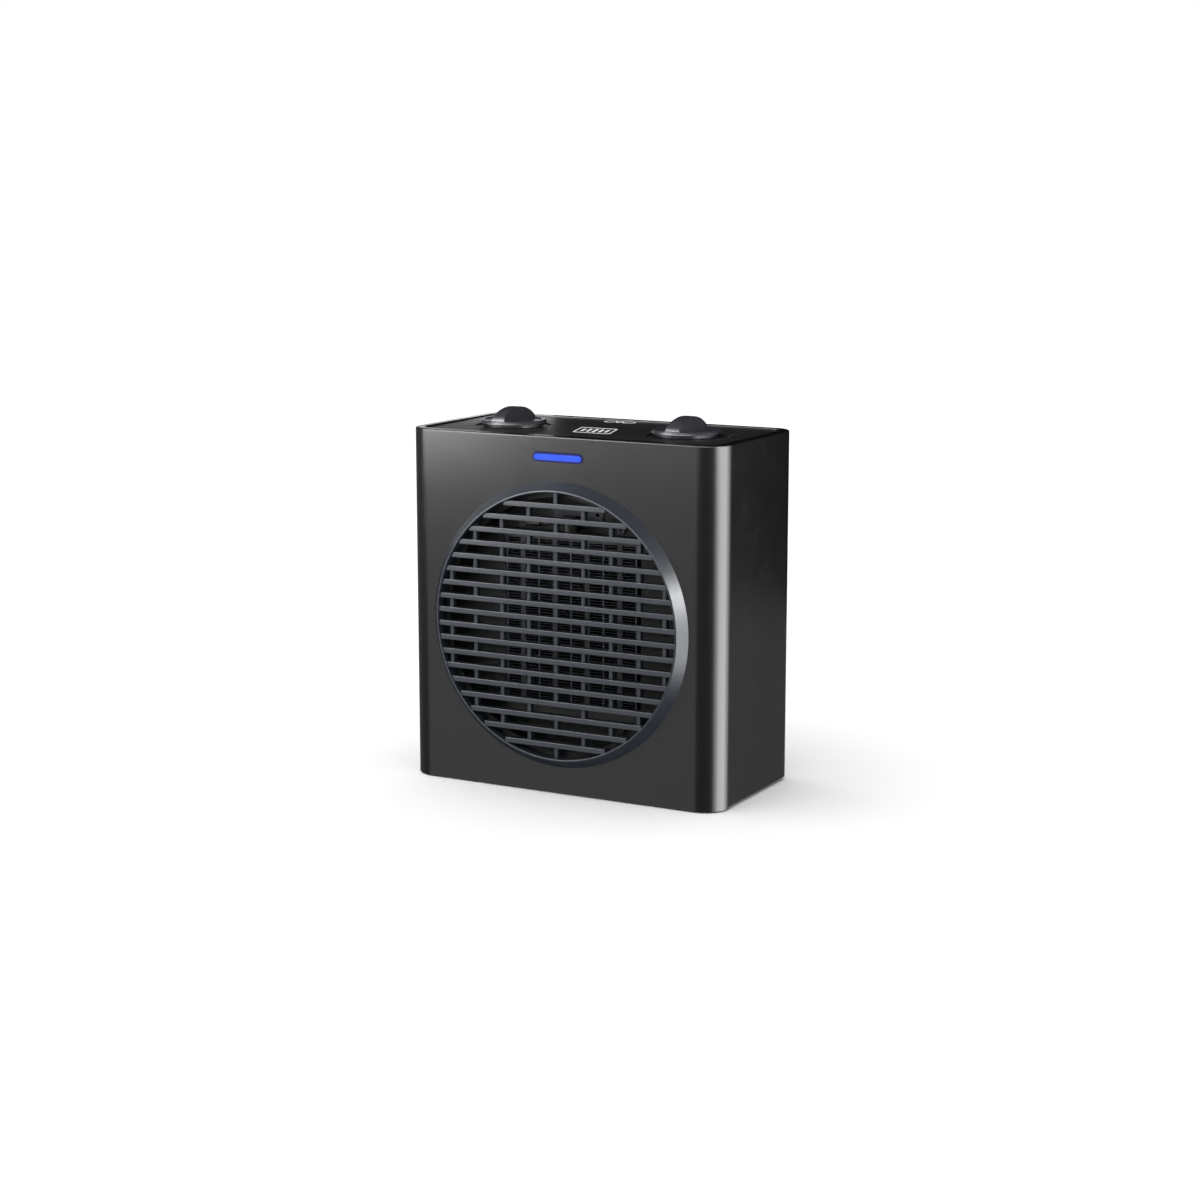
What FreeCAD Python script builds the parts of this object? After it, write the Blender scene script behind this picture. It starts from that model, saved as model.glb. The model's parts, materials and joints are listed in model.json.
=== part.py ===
"""Ceramic space heater: a free-standing box with a round outlet grille, two top dials and a fan behind a PTC element.

Millimetres. +Z is up, the grille faces -Y, and the origin is the centre of the overall box on the floor.
Each function below makes one physical piece, or one group of identical pieces, and main() writes one STEP file for each.
"""

import FreeCAD, Part
import math
import os

V = FreeCAD.Vector
X, Y, Z = V(1, 0, 0), V(0, 1, 0), V(0, 0, 1)

# ---- driving dimensions: casing ----
BODY_W = 240.0
BODY_D = 120.0
BODY_H = 245.0
GRILLE_PROUD = 7.0
WALL = 2.5
FRONT_CORNER_R = 18.0
REAR_CORNER_R = 15.0
RIM_W = 6.5
RIM_ROUND = 1.6
SILL_FRONT = 1.0
SILL_SIDE = 2.6
REAR_WALL = 4.5

FRONT = -(BODY_D + GRILLE_PROUD) / 2 + GRILLE_PROUD
BACK = FRONT + BODY_D
INNER_FRONT = FRONT + WALL
HALF_W = BODY_W / 2

# ---- driving dimensions: outlet grille ----
AXIS_Z = 117.0
GRILLE_R = 98.0
LIP_OUTER_R = 92.4
LIP_R = 91.2
LIP_STEP = 1.0
SPIGOT_R = 94.9
WALL_HOLE_R = 95.2
SLAT_COUNT = 18
SLAT_PITCH = 9.64
SLAT_T = 3.5
SLAT_DEPTH = 6.5
RIB_PITCH = 42.0
RIB_T = 3.0
RIB_SETBACK = 2.5
OUTER_RIB_X = 82.0
GRILLE_SCREW_R = 91.2
GRILLE_SCREW_ANGLES = (45, 135, 225, 315)

# ---- driving dimensions: top panel and dials ----
GROOVE = 0.5
PANEL_TOP = 244.0
PANEL_T = 2.5
DIAL_X = 67.3
DIAL_R = 23.5
DISH_R = 26.5
DISH_DEPTH = 1.0
DISC_Z = (243.9, 248.3)
DISC_DISH = 0.8
DISC_RIM = 3.4
DISC_BEVEL = (0.9, 1.7)
DISC_NECK = (2.0, 2.1)
FIN_TOP = 257.0
FIN_HALF_LENGTH = 21.5
FIN_HALF_BASE = 5.9
FIN_HALF_TOP = 4.1
DIAL_BOSS_R = 6.0
DIAL_BOSS_Z = 238.0
PANEL_BORE_R = 7.2
SPINDLE_R = 3.0
RUN_CLEARANCE = 0.05
CONTROL_TOP = 236.0
CONTROL_SCREW_X = 18.0

# ---- driving dimensions: indicator ----
LENS_Z = 231.0
LENS_W = 38.0
LENS_H = 6.2
LENS_PROUD = 0.5
LENS_GAP = 0.15

# ---- driving dimensions: PTC element ----
CORE_Z = (56.0, 172.0)
CORE_FRONT = FRONT + 17.9
CORE_DEPTH = 12.0
COLUMN_PITCH = 12.5
BAR_T = 3.6
SEPARATOR_T = 1.0
FIN_PITCH = 1.9
FIN_SHEET = 0.25
FIN_GAP = 0.05
FIN_INSET = 0.3
FRAME_HALF_W = 52.0
WING_HALF_W = 42.0
RAIL_SCREW_X = 38.0
RAIL_SCREW_Z = (CORE_Z[0] - 10.0, CORE_Z[1] + 10.5)
CORE_BACK = CORE_FRONT + CORE_DEPTH

# ---- driving dimensions: duct, fan and motor ----
DUCT_R = 87.0
DUCT_WALL = 2.0
DUCT_FLANGE_R = 102.0
DUCT_REAR = 19.0
BULKHEAD_Y = (CORE_FRONT + 2.1, CORE_FRONT + 4.1)
WINDOW_Z = (CORE_Z[0] - 6.5, CORE_Z[1] + 6.5)
FAN_R = 82.0
HUB_R = 21.0
HUB_Y = (-7.0, 13.0)
BLADE_COUNT = 7
BLADE_T = 1.8
SHAFT_R = 2.0
SHAFT_Y = (HUB_Y[0] - 3.0, 56.0)
MOUNT_Y = (DUCT_REAR, DUCT_REAR + 1.5)
MOTOR_BOLT_X = 18.5
BRACKET_T = 1.5
FRONT_BRACKET_Y = 28.0
STATOR_Y = (33.0, 47.0)
ROTOR_R = 12.0
AIR_GAP = 0.4
BUSH_R = 5.9
MOUNT_SCREW_X = 92.0
MOUNT_SCREW_DZ = 8.0

# ---- driving dimensions: base ----
BASE_Z = (2.6, 5.1)
FOOT_X, FOOT_Y = 102.0, (FRONT + 19.5, BACK - 22.0)
FOOT_SIZE = (26.0, 16.0)
BASE_SCREW_X, BASE_SCREW_Y = 109.0, (-26.0, 30.0)
PLUNGER_X, PLUNGER_Y = -76.0, 43.0
PLUNGER_R = 4.0

# ---- driving dimensions: rear cover ----
COVER_HALF_W = 103.7
COVER_Z = (12.3, 232.7)
COVER_GAP = 0.3
LEDGE = 6.0
COVER_SCREWS = [(x, z) for x in (-97.0, 97.0) for z in (34.0, 211.0)]
INTAKE_R = 80.0
INTAKE_PITCH = 8.0
INTAKE_SLOT = 4.0
GRIP_HALF_W = 36.0
GRIP_Z = (200.0, 221.0)
GRIP_DEPTH = 20.0
GRIP_WALL = 2.0
GLAND_X, GLAND_Z = 72.0, 28.0
GLAND_BORE_R = 3.6
GLAND_LENGTH = 14.0
CLAMP_Y = 34.0


# ---- small helpers ----
def box(x, y, z):
    """A block between the low and high values of each axis."""
    return Part.makeBox(x[1] - x[0], y[1] - y[0], z[1] - z[0], V(x[0], y[0], z[0]))


def rod(radius, start, length, axis=Y):
    """A cylinder from a start point along an axis."""
    return Part.makeCylinder(radius, length, V(*start), axis)


def ring(outer, inner, start, length, axis=Y):
    """A round tube."""
    return rod(outer, start, length, axis).cut(rod(inner, start, length, axis))


def fuse(*shapes):
    """One solid from shapes that overlap or share faces."""
    return shapes[0].multiFuse(list(shapes[1:])).removeSplitter()


def cut(shape, *tools):
    """A shape with every tool taken away."""
    return shape.cut(Part.makeCompound(list(tools))) if tools else shape


def group(shapes):
    """Separate solids of identical pieces, kept in one node."""
    return Part.makeCompound(list(shapes))


def plan_block(half_w, y, z, front_r, rear_r):
    """A block with rounded upright corners, one radius at the front and one at the back."""
    block = box((-half_w, half_w), y, z)
    for radius, edge_y in ((front_r, y[0]), (rear_r, y[1])):
        edges = [
            e for e in block.Edges
            if abs(e.Vertexes[0].Point.x) > half_w - 0.01
            and abs(e.Vertexes[0].Point.y - edge_y) < 0.01
            and abs(e.Vertexes[-1].Point.y - edge_y) < 0.01
            and abs(e.Vertexes[0].Point.z - e.Vertexes[-1].Point.z) > 0.01
        ]
        block = block.makeFillet(radius, edges)
    return block


def slot_prism(width, height, centre, length):
    """A stadium-shaped bar along Y, centred on (x, z) of centre and starting at its y."""
    x, y, z = centre
    r = height / 2
    half = width / 2 - r
    ends = [rod(r, (x + s * half, y, z), length) for s in (-1, 1)]
    return fuse(box((x - half, x + half), (y, y + length), (z - r, z + r)), *ends)


def polar(radius, degrees):
    """The x and z of a point round the fan axis."""
    a = math.radians(degrees)
    return radius * math.cos(a), AXIS_Z + radius * math.sin(a)


def screw(shank_r, head_r, head_t, length, start, axis):
    """A pan-head screw: the head's outer face is at the start point and the shank runs along the axis."""
    head = rod(head_r, start, head_t, axis)
    shank = rod(shank_r, start, length, axis)
    cross = V(*start)
    side = Z if abs(axis.z) < 0.5 else X
    slot = Part.makeBox(1.0, head_r * 1.1, head_t * 0.9, V(-0.5, -head_r * 0.55, -head_t * 0.45))
    slot.Placement = FreeCAD.Placement(cross, FreeCAD.Rotation(side.cross(axis), side, axis, "ZXY"))
    return cut(fuse(head, shank), slot)


# ---- casing ----
def outer_sleeve():
    """Seamless skin: front, both sides and the rear corners, with a rolled rim round the top."""
    shell = plan_block(HALF_W, (FRONT, BACK), (SILL_FRONT, BODY_H), FRONT_CORNER_R, REAR_CORNER_R)
    top_edges = [e for e in shell.Edges if all(abs(v.Point.z - BODY_H) < 0.01 for v in e.Vertexes)]
    shell = shell.makeFillet(RIM_ROUND, top_edges)
    hollow = plan_block(
        HALF_W - WALL, (INNER_FRONT, BACK - REAR_WALL), (-1, BODY_H - WALL),
        FRONT_CORNER_R - WALL, REAR_CORNER_R - WALL,
    )
    top_hole = plan_block(
        HALF_W - RIM_W, (FRONT + RIM_W, BACK - RIM_W), (BODY_H - 2 * WALL, BODY_H + 1),
        FRONT_CORNER_R - RIM_W, REAR_CORNER_R - RIM_W,
    )
    rear_hole = box((-COVER_HALF_W + LEDGE, COVER_HALF_W - LEDGE), (BACK - 2 * REAR_WALL, BACK + 1),
                    (COVER_Z[0] + LEDGE, COVER_Z[1] - LEDGE))
    rebate = box((-COVER_HALF_W - COVER_GAP, COVER_HALF_W + COVER_GAP), (BACK - WALL, BACK + 1),
                 (COVER_Z[0] - COVER_GAP, COVER_Z[1] + COVER_GAP))
    side_sill = box((-HALF_W - 1, HALF_W + 1), (FRONT + FRONT_CORNER_R, BACK + 1), (-1, SILL_SIDE))
    grille_hole = rod(WALL_HOLE_R, (0, FRONT - 1, AXIS_Z), WALL + 2)
    lens_hole = slot_prism(LENS_W + 2 * LENS_GAP, LENS_H + 2 * LENS_GAP, (0, FRONT - 1, LENS_Z), WALL + 2)
    shell = cut(shell, hollow, top_hole, rear_hole, rebate, side_sill, grille_hole, lens_hole)
    bosses = []
    for x, z in COVER_SCREWS:
        bosses.append(rod(4.5, (x, BACK - 20, z), 20 - WALL))
    for y in BASE_SCREW_Y:
        for side in (-1, 1):
            rib_x = sorted((side * BASE_SCREW_X, side * (HALF_W - WALL / 2)))
            bosses.append(rod(4.5, (side * BASE_SCREW_X, y, BASE_Z[1]), 22, Z))
            bosses.append(box(rib_x, (y - 1, y + 1), (BASE_Z[1], BASE_Z[1] + 22)))
    shell = fuse(shell, *bosses)
    pilots = [rod(1.5, (x, BACK - 18, z), 18) for x, z in COVER_SCREWS]
    pilots += [rod(1.5, (s * BASE_SCREW_X, y, BASE_Z[1] - 1), 20, Z) for y in BASE_SCREW_Y for s in (-1, 1)]
    return cut(shell, *pilots)


def front_grille():
    """Outlet grille in one moulding: sloped ring, 18 level slats and ribs staggered like brickwork."""
    front = FRONT - GRILLE_PROUD
    spigot_back = INNER_FRONT
    profile = [
        V(GRILLE_R, FRONT, 0), V(LIP_OUTER_R, front, 0), V(LIP_R, front, 0),
        V(LIP_R, spigot_back, 0), V(SPIGOT_R, spigot_back, 0), V(SPIGOT_R, FRONT, 0),
    ]
    face = Part.Face(Part.makePolygon(profile + [profile[0]]))
    body = face.revolve(V(0, 0, 0), Y, 360)
    body.translate(V(0, 0, AXIS_Z))
    slat_front = front + LIP_STEP
    parts = [body]
    for i in range(SLAT_COUNT):
        dz = (i - (SLAT_COUNT - 1) / 2) * SLAT_PITCH
        half = math.sqrt((LIP_R + 1) ** 2 - (abs(dz) + SLAT_T / 2) ** 2)
        z = AXIS_Z + dz
        slat = box((-half, half), (slat_front, slat_front + SLAT_DEPTH), (z - SLAT_T / 2, z + SLAT_T / 2))
        parts.append(slat)
    row_count = SLAT_COUNT + 1
    for row in range(row_count):
        dz = ((row_count - 1) / 2 - row) * SLAT_PITCH
        outer = row in (0, row_count - 1)
        if row % 2 == 0:
            places = (0.0, -RIB_PITCH, RIB_PITCH, -OUTER_RIB_X, OUTER_RIB_X)
        else:
            places = [s * RIB_PITCH * k for s in (-1, 1) for k in (0.5, 1.5)]
        for x in places:
            reach = LIP_R ** 2 - (abs(x) + RIB_T / 2) ** 2
            if reach <= 0 or math.sqrt(reach) < abs(dz) - 2.5:
                continue
            low, high = AXIS_Z + dz - SLAT_PITCH / 2, AXIS_Z + dz + SLAT_PITCH / 2
            if outer:
                edge = math.sqrt((LIP_R + 1) ** 2 - (abs(x) + RIB_T / 2) ** 2)
                low, high = (low, AXIS_Z + edge) if dz > 0 else (AXIS_Z - edge, high)
            rib = box((x - RIB_T / 2, x + RIB_T / 2),
                      (slat_front + RIB_SETBACK, slat_front + SLAT_DEPTH), (low, high))
            parts.append(rib)
    for angle in GRILLE_SCREW_ANGLES:
        x, z = polar(GRILLE_SCREW_R, angle)
        parts.append(rod(3.4, (x, front + 3, z), spigot_back - front - 3))
    grille = fuse(*parts)
    pilots = []
    for angle in GRILLE_SCREW_ANGLES:
        x, z = polar(GRILLE_SCREW_R, angle)
        pilots.append(rod(1.2, (x, spigot_back - 5.5, z), 6.5))
    return cut(grille, *pilots)


def top_panel():
    """Control panel: drops behind the rim, with a shallow dish and a bore for each dial."""
    gap = RIM_W + GROOVE
    plate = plan_block(HALF_W - gap, (FRONT + gap, BACK - gap), (PANEL_TOP - PANEL_T, PANEL_TOP),
                       FRONT_CORNER_R - gap, REAR_CORNER_R - gap)
    reach = WALL + 0.5
    lip_y = (FRONT + reach, BACK - REAR_WALL - 0.5)
    lip_top = BODY_H - WALL - 0.1
    lip = plan_block(HALF_W - reach, lip_y, (lip_top - 3.0, lip_top), FRONT_CORNER_R - reach, REAR_CORNER_R - reach)
    pocket = plan_block(HALF_W - gap - 2, (FRONT + gap + 2, BACK - gap - 2), (lip_top - 4, PANEL_TOP - PANEL_T),
                        FRONT_CORNER_R - gap - 2, REAR_CORNER_R - gap - 2)
    panel = cut(fuse(plate, lip), pocket)
    bosses, holes = [], []
    for side in (-1, 1):
        x = side * DIAL_X
        bosses.append(rod(DISH_R + 1.5, (x, 0, PANEL_TOP - PANEL_T - 1.0), 1.5, Z))
        holes.append(rod(DISH_R, (x, 0, PANEL_TOP - DISH_DEPTH), 2, Z))
        holes.append(rod(PANEL_BORE_R, (x, 0, BODY_H - 10), 12, Z))
        for offset in (-CONTROL_SCREW_X, CONTROL_SCREW_X):
            bosses.append(rod(3.6, (x + offset, 0, CONTROL_TOP), PANEL_TOP - 2 - CONTROL_TOP, Z))
            holes.append(rod(1.2, (x + offset, 0, CONTROL_TOP - 1), 6, Z))
    return cut(fuse(panel, *bosses), *holes)


def rear_cover():
    """Screwed back panel: intake slots in a round field, a grip recess above and the cord hole below."""
    half = COVER_HALF_W
    inner = BACK - WALL
    plate = box((-half, half), (inner, BACK), COVER_Z)
    uprights = [e for e in plate.Edges if abs(e.Vertexes[0].Point.y - e.Vertexes[-1].Point.y) > 0.1]
    plate = plate.makeFillet(4.0, uprights)
    cup = box((-GRIP_HALF_W - GRIP_WALL, GRIP_HALF_W + GRIP_WALL), (BACK - GRIP_DEPTH - GRIP_WALL, inner + 0.5),
              (GRIP_Z[0] - GRIP_WALL, GRIP_Z[1] + GRIP_WALL))
    plate = fuse(plate, cup)
    tools = []
    recess = box((-GRIP_HALF_W, GRIP_HALF_W), (BACK - GRIP_DEPTH, BACK + 1), GRIP_Z)
    long_edges = [e for e in recess.Edges if abs(e.Vertexes[0].Point.y - e.Vertexes[-1].Point.y) > 0.1]
    tools.append(recess.makeFillet(6.0, long_edges))
    rows = int(INTAKE_R // INTAKE_PITCH)
    for i in range(-rows, rows + 1):
        z = AXIS_Z - 6 + i * INTAKE_PITCH
        reach = math.sqrt(max(INTAKE_R ** 2 - (i * INTAKE_PITCH) ** 2, 0))
        for low, high in ((-INTAKE_R, -41.5), (-38.5, -1.5), (1.5, 38.5), (41.5, INTAKE_R)):
            low, high = max(low, -reach), min(high, reach)
            if high - low > 2 * INTAKE_SLOT:
                tools.append(slot_prism(high - low, INTAKE_SLOT, ((low + high) / 2, inner - 1, z), WALL + 2))
    tools.append(rod(7.1, (GLAND_X, inner - 1, GLAND_Z), WALL + 2))
    tools.append(rod(9.1, (GLAND_X, BACK - 1.5, GLAND_Z), 3))
    for x, z in COVER_SCREWS:
        tools.append(rod(1.8, (x, inner - 1, z), WALL + 2))
        tools.append(rod(3.6, (x, BACK - 1.5, z), 3))
    return cut(plate, *tools)


def base_plate():
    """Floor of the casing, with sockets for the feet and a guide bush for the tip-over plunger."""
    reach = WALL + 0.3
    plate = plan_block(HALF_W - reach, (FRONT + reach, BACK - REAR_WALL - 0.3), BASE_Z,
                       FRONT_CORNER_R - reach, REAR_CORNER_R - reach)
    bosses = [rod(7.0, (PLUNGER_X, PLUNGER_Y, BASE_Z[0]), 8, Z)]
    tools = [rod(PLUNGER_R + RUN_CLEARANCE, (PLUNGER_X, PLUNGER_Y, 0), 20, Z)]
    for side in (-1, 1):
        for y in BASE_SCREW_Y:
            tools.append(rod(1.8, (side * BASE_SCREW_X, y, 0), 10, Z))
            tools.append(rod(3.6, (side * BASE_SCREW_X, y, 0), BASE_Z[0] + 1.4, Z))
        for y in FOOT_Y:
            tools.append(rod(3.0, (side * FOOT_X, y, 0), 10, Z))
    return cut(fuse(plate, *bosses), *tools)


def rubber_feet():
    """Four rubber pads, each with a stem pressed into the base."""
    feet = []
    for side in (-1, 1):
        for y in FOOT_Y:
            half_x, half_y = FOOT_SIZE[0] / 2, FOOT_SIZE[1] / 2
            pad = box((side * FOOT_X - half_x, side * FOOT_X + half_x), (y - half_y, y + half_y), (0, BASE_Z[0]))
            uprights = [e for e in pad.Edges if abs(e.Vertexes[0].Point.z - e.Vertexes[-1].Point.z) > 0.1]
            pad = pad.makeFillet(5.0, uprights)
            stem = rod(3.0, (side * FOOT_X, y, BASE_Z[0]), BASE_Z[1] - BASE_Z[0], Z)
            bead = rod(4.0, (side * FOOT_X, y, BASE_Z[1]), 1.6, Z)
            feet.append(fuse(pad, stem, bead))
    return group(feet)


def indicator_lens():
    """Stadium-shaped window with a flange behind the front wall."""
    window = slot_prism(LENS_W, LENS_H, (0, FRONT - LENS_PROUD, LENS_Z), WALL + LENS_PROUD)
    flange = slot_prism(LENS_W + 4, LENS_H + 4, (0, INNER_FRONT, LENS_Z), 1.2)
    return fuse(window, flange)


def indicator_lamp():
    """Two lamps in one holder clipped behind the lens."""
    y = INNER_FRONT + 1.2
    holder = box((-16, 16), (y + 5, y + 8), (LENS_Z - 4, LENS_Z + 4))
    lamps = [rod(2.5, (x, y + 0.3, LENS_Z), 4.7) for x in (-9, 9)]
    return fuse(holder, *lamps)


# ---- dials and controls ----
def dial(x):
    """Control dial: a shallow dished disc with a tall arched finger fin and a boss over the spindle."""
    bevel_z = DISC_Z[1] - DISC_BEVEL[1]
    neck_z = DISC_Z[0] + DISC_NECK[1]
    neck = rod(DIAL_R - DISC_NECK[0], (x, 0, DISC_Z[0]), DISC_NECK[1], Z)
    skirt = fuse(neck, rod(DIAL_R, (x, 0, neck_z), bevel_z - neck_z, Z))
    bevel = Part.makeCone(DIAL_R, DIAL_R - DISC_BEVEL[0], DISC_BEVEL[1], V(x, 0, bevel_z))
    disc = cut(fuse(skirt, bevel), rod(DIAL_R - DISC_RIM, (x, 0, DISC_Z[1] - DISC_DISH), 2, Z))
    low = DISC_Z[1] - DISC_DISH - 0.2
    arch_h = FIN_TOP - low
    section = Part.makePolygon([
        V(-FIN_HALF_BASE, 0, low), V(FIN_HALF_BASE, 0, low),
        V(FIN_HALF_TOP, 0, FIN_TOP + 1), V(-FIN_HALF_TOP, 0, FIN_TOP + 1), V(-FIN_HALF_BASE, 0, low),
    ])
    wedge = Part.Face(section).extrude(V(0, 2 * FIN_HALF_LENGTH, 0))
    wedge.translate(V(x, -FIN_HALF_LENGTH, 0))
    side_view = Part.Face(Part.Wire(Part.Ellipse(V(0, 0, 0), FIN_HALF_LENGTH, arch_h).toShape()))
    side_view.Placement = FreeCAD.Placement(V(x - FIN_HALF_BASE - 1, 0, low), FreeCAD.Rotation(V(1, 1, 1), 120))
    arch = side_view.extrude(V(2 * FIN_HALF_BASE + 2, 0, 0))
    fin = wedge.common(arch)
    boss = rod(DIAL_BOSS_R, (x, 0, DIAL_BOSS_Z), DISC_Z[0] - DIAL_BOSS_Z + 0.5, Z)
    socket = rod(SPINDLE_R, (x, 0, DIAL_BOSS_Z - 1), 251.0 - DIAL_BOSS_Z, Z)
    return cut(fuse(disc, fin, boss), socket)


def spindle(x, low):
    """Control spindle, from the control below up into its dial."""
    return rod(SPINDLE_R, (x, 0, low), 250.0 - low, Z)


def control_screws():
    """Screws that hold both controls up against the panel's bosses."""
    places = [side * DIAL_X + offset for side in (-1, 1) for offset in (-CONTROL_SCREW_X, CONTROL_SCREW_X)]
    return group(screw(1.2, 2.8, 1.6, 7.5, (x, 0, CONTROL_TOP - 1.5 - 1.6), Z) for x in places)


def function_switch_body():
    """Rotary switch case, open below, with two mounting ears."""
    x = -DIAL_X
    case = box((x - 13.5, x + 13.5), (-15, 15), (217, CONTROL_TOP))
    ears = box((x - 23, x + 23), (-5, 5), (CONTROL_TOP - 1.5, CONTROL_TOP))
    cavity = rod(12, (x, 0, 216), 16, Z)
    bore = rod(SPINDLE_R + RUN_CLEARANCE, (x, 0, 225), 20, Z)
    holes = [rod(1.4, (x + offset, 0, 230), 10, Z) for offset in (-CONTROL_SCREW_X, CONTROL_SCREW_X)]
    return cut(fuse(case, ears), cavity, bore, *holes)


def function_switch_base():
    """Switch base that carries the terminals."""
    x = -DIAL_X
    return cut(box((x - 13.5, x + 13.5), (-15, 15), (214, 217)), *switch_tabs())


def switch_tabs():
    """Tab terminals through the switch base."""
    return [box((-DIAL_X + dx - 0.4, -DIAL_X + dx + 0.4), (y - 3.15, y + 3.15), (204, 217))
            for dx in (-9, 9) for y in (-7, 7)]


def function_switch_rotor():
    """Cam drum that works the switch contacts, fixed on the spindle."""
    x = -DIAL_X
    drum = rod(9.5, (x, 0, 221), 8, Z)
    lobes = [rod(2.5, (x + 7.6 * math.cos(a), 7.6 * math.sin(a), 221), 8, Z) for a in (0.0, 1.57, 3.14)]
    return cut(fuse(drum, *lobes), rod(SPINDLE_R, (x, 0, 220), 10, Z))


def thermostat_frame():
    """Steel frame with the threaded bush and a leg down to the blades."""
    x = DIAL_X
    plate = box((x - 23, x + 23), (-7, 7), (CONTROL_TOP - 1.5, CONTROL_TOP))
    leg = box((x + 11, x + 12.5), (-7, 7), (221, CONTROL_TOP - 1.5))
    foot = box((x + 11, x + 21), (-7, 7), (219.5, 221))
    bush = rod(5, (x, 0, 227), CONTROL_TOP - 227, Z)
    bore = rod(SPINDLE_R + RUN_CLEARANCE, (x, 0, 220), 20, Z)
    holes = [rod(1.4, (x + offset, 0, 230), 10, Z) for offset in (-CONTROL_SCREW_X, CONTROL_SCREW_X)]
    stack_hole = rod(1.6, (x + 17, 0, 218), 5, Z)
    return cut(fuse(plate, leg, foot, bush), bore, stack_hole, *holes)


def blade(z, thickness, low_x):
    """One thermostat blade, clamped in the stack at its outer end."""
    strip = box((DIAL_X + low_x, DIAL_X + 21), (-4, 4), (z, z + thickness))
    return cut(strip, rod(1.6, (DIAL_X + 17, 0, z - 1), 5, Z))


def blade_stack():
    """Ceramic spacers and the rivet that clamps the blades under the frame."""
    x = DIAL_X + 17
    rivet = rod(1.5, (x, 0, 207.5), 15.0, Z)
    heads = [rod(2.8, (x, 0, z), 1.0, Z) for z in (206.5, 221.1)]
    spacers = [rod(3.9, (x, 0, low), high - low, Z) for low, high in ((208.0, 211.0), (211.8, 215.0), (215.6, 219.4))]
    return fuse(rivet, *heads, *spacers)


# ---- PTC element ----
def column_lines():
    """The x of every upright line in the core: separators on even places, ceramic bars on odd ones."""
    return [(i - 4) * COLUMN_PITCH for i in range(9)]


def ptc_bars():
    """Four ceramic heating bars."""
    bars = [box((x - BAR_T / 2, x + BAR_T / 2), (CORE_FRONT, CORE_BACK), CORE_Z) for x in column_lines()[1::2]]
    return group(bars)


def ptc_separators():
    """Five thin upright strips between and outside the fin columns."""
    half = SEPARATOR_T / 2
    return group(box((x - half, x + half), (CORE_FRONT, CORE_BACK), CORE_Z) for x in column_lines()[0::2])


def folded_strip(x_low, x_high):
    """One fin strip: level legs joined at alternate ends, as one folded sheet."""
    half = FIN_SHEET / 2
    legs = int((CORE_Z[1] - CORE_Z[0] - 1.0) / FIN_PITCH) + 1
    rise = [CORE_Z[0] + 0.6 + k * FIN_PITCH for k in range(legs)]
    one_side = [V(x_low, CORE_FRONT + FIN_INSET, rise[0] + half)]
    other_side = [V(x_low, CORE_FRONT + FIN_INSET, rise[0] - half)]
    for k, (z, z_next) in enumerate(zip(rise, rise[1:])):
        if k % 2 == 0:
            inner, outer, x_in, x_out = one_side, other_side, x_high - FIN_SHEET, x_high
        else:
            inner, outer, x_in, x_out = other_side, one_side, x_low + FIN_SHEET, x_low
        inner += [V(x_in, CORE_FRONT + FIN_INSET, z + half), V(x_in, CORE_FRONT + FIN_INSET, z_next - half)]
        outer += [V(x_out, CORE_FRONT + FIN_INSET, z - half), V(x_out, CORE_FRONT + FIN_INSET, z_next + half)]
    x_end, sign = (x_high, 1) if legs % 2 == 1 else (x_low, -1)
    one_side.append(V(x_end, CORE_FRONT + FIN_INSET, rise[-1] + sign * half))
    other_side.append(V(x_end, CORE_FRONT + FIN_INSET, rise[-1] - sign * half))
    outline = one_side + other_side[::-1]
    face = Part.Face(Part.makePolygon(outline + [outline[0]]))
    return face.extrude(V(0, CORE_DEPTH - 2 * FIN_INSET, 0))


def ptc_fins():
    """Eight folded aluminium fin strips, one on each side of each bar."""
    strips = []
    lines = column_lines()
    for i in range(8):
        left_half, right_half = (SEPARATOR_T / 2, BAR_T / 2) if i % 2 == 0 else (BAR_T / 2, SEPARATOR_T / 2)
        x_low, x_high = lines[i] + left_half + FIN_GAP, lines[i + 1] - right_half - FIN_GAP
        strips.append(folded_strip(x_low, x_high))
    return group(strips)


def ptc_end_rail(rail_z, wing_z, screw_z):
    """Heat-resistant end rail that clamps the core and screws to the bulkhead."""
    rail = box((-FRAME_HALF_W, FRAME_HALF_W), (CORE_FRONT, CORE_BACK), rail_z)
    wing = box((-WING_HALF_W, WING_HALF_W), (BULKHEAD_Y[1], BULKHEAD_Y[1] + 3), wing_z)
    holes = [rod(1.2, (x, BULKHEAD_Y[1] - 1, screw_z), 6) for x in (-RAIL_SCREW_X, RAIL_SCREW_X)]
    return cut(fuse(rail, wing), *holes)


def ptc_frame_upper():
    """Upper end rail, notched for the terminals."""
    top = CORE_Z[1]
    rail = ptc_end_rail((top, top + 6), (top + 5, top + 14.5), RAIL_SCREW_Z[1])
    return cut(rail, *terminal_tabs())


def ptc_frame_lower():
    """Lower end rail."""
    bottom = CORE_Z[0]
    return ptc_end_rail((bottom - 6, bottom), (bottom - 13.5, bottom - 5), RAIL_SCREW_Z[0])


def terminal_tabs():
    """Tab strips that rise through the upper rail from the core."""
    mid = (CORE_FRONT + CORE_BACK) / 2 + 1.5
    return [box((x - 3.15, x + 3.15), (mid - 0.4, mid + 0.4), (CORE_Z[1] + 0.2, CORE_Z[1] + 19)) for x in (-25, 0, 25)]


def ptc_screws():
    """Screws through the bulkhead into both end rails."""
    y = BULKHEAD_Y[0] - 1.6
    places = [(x, z) for x in (-RAIL_SCREW_X, RAIL_SCREW_X) for z in RAIL_SCREW_Z]
    return group(screw(1.2, 2.8, 1.6, 6.0, (x, y, z), Y) for x, z in places)


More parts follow.
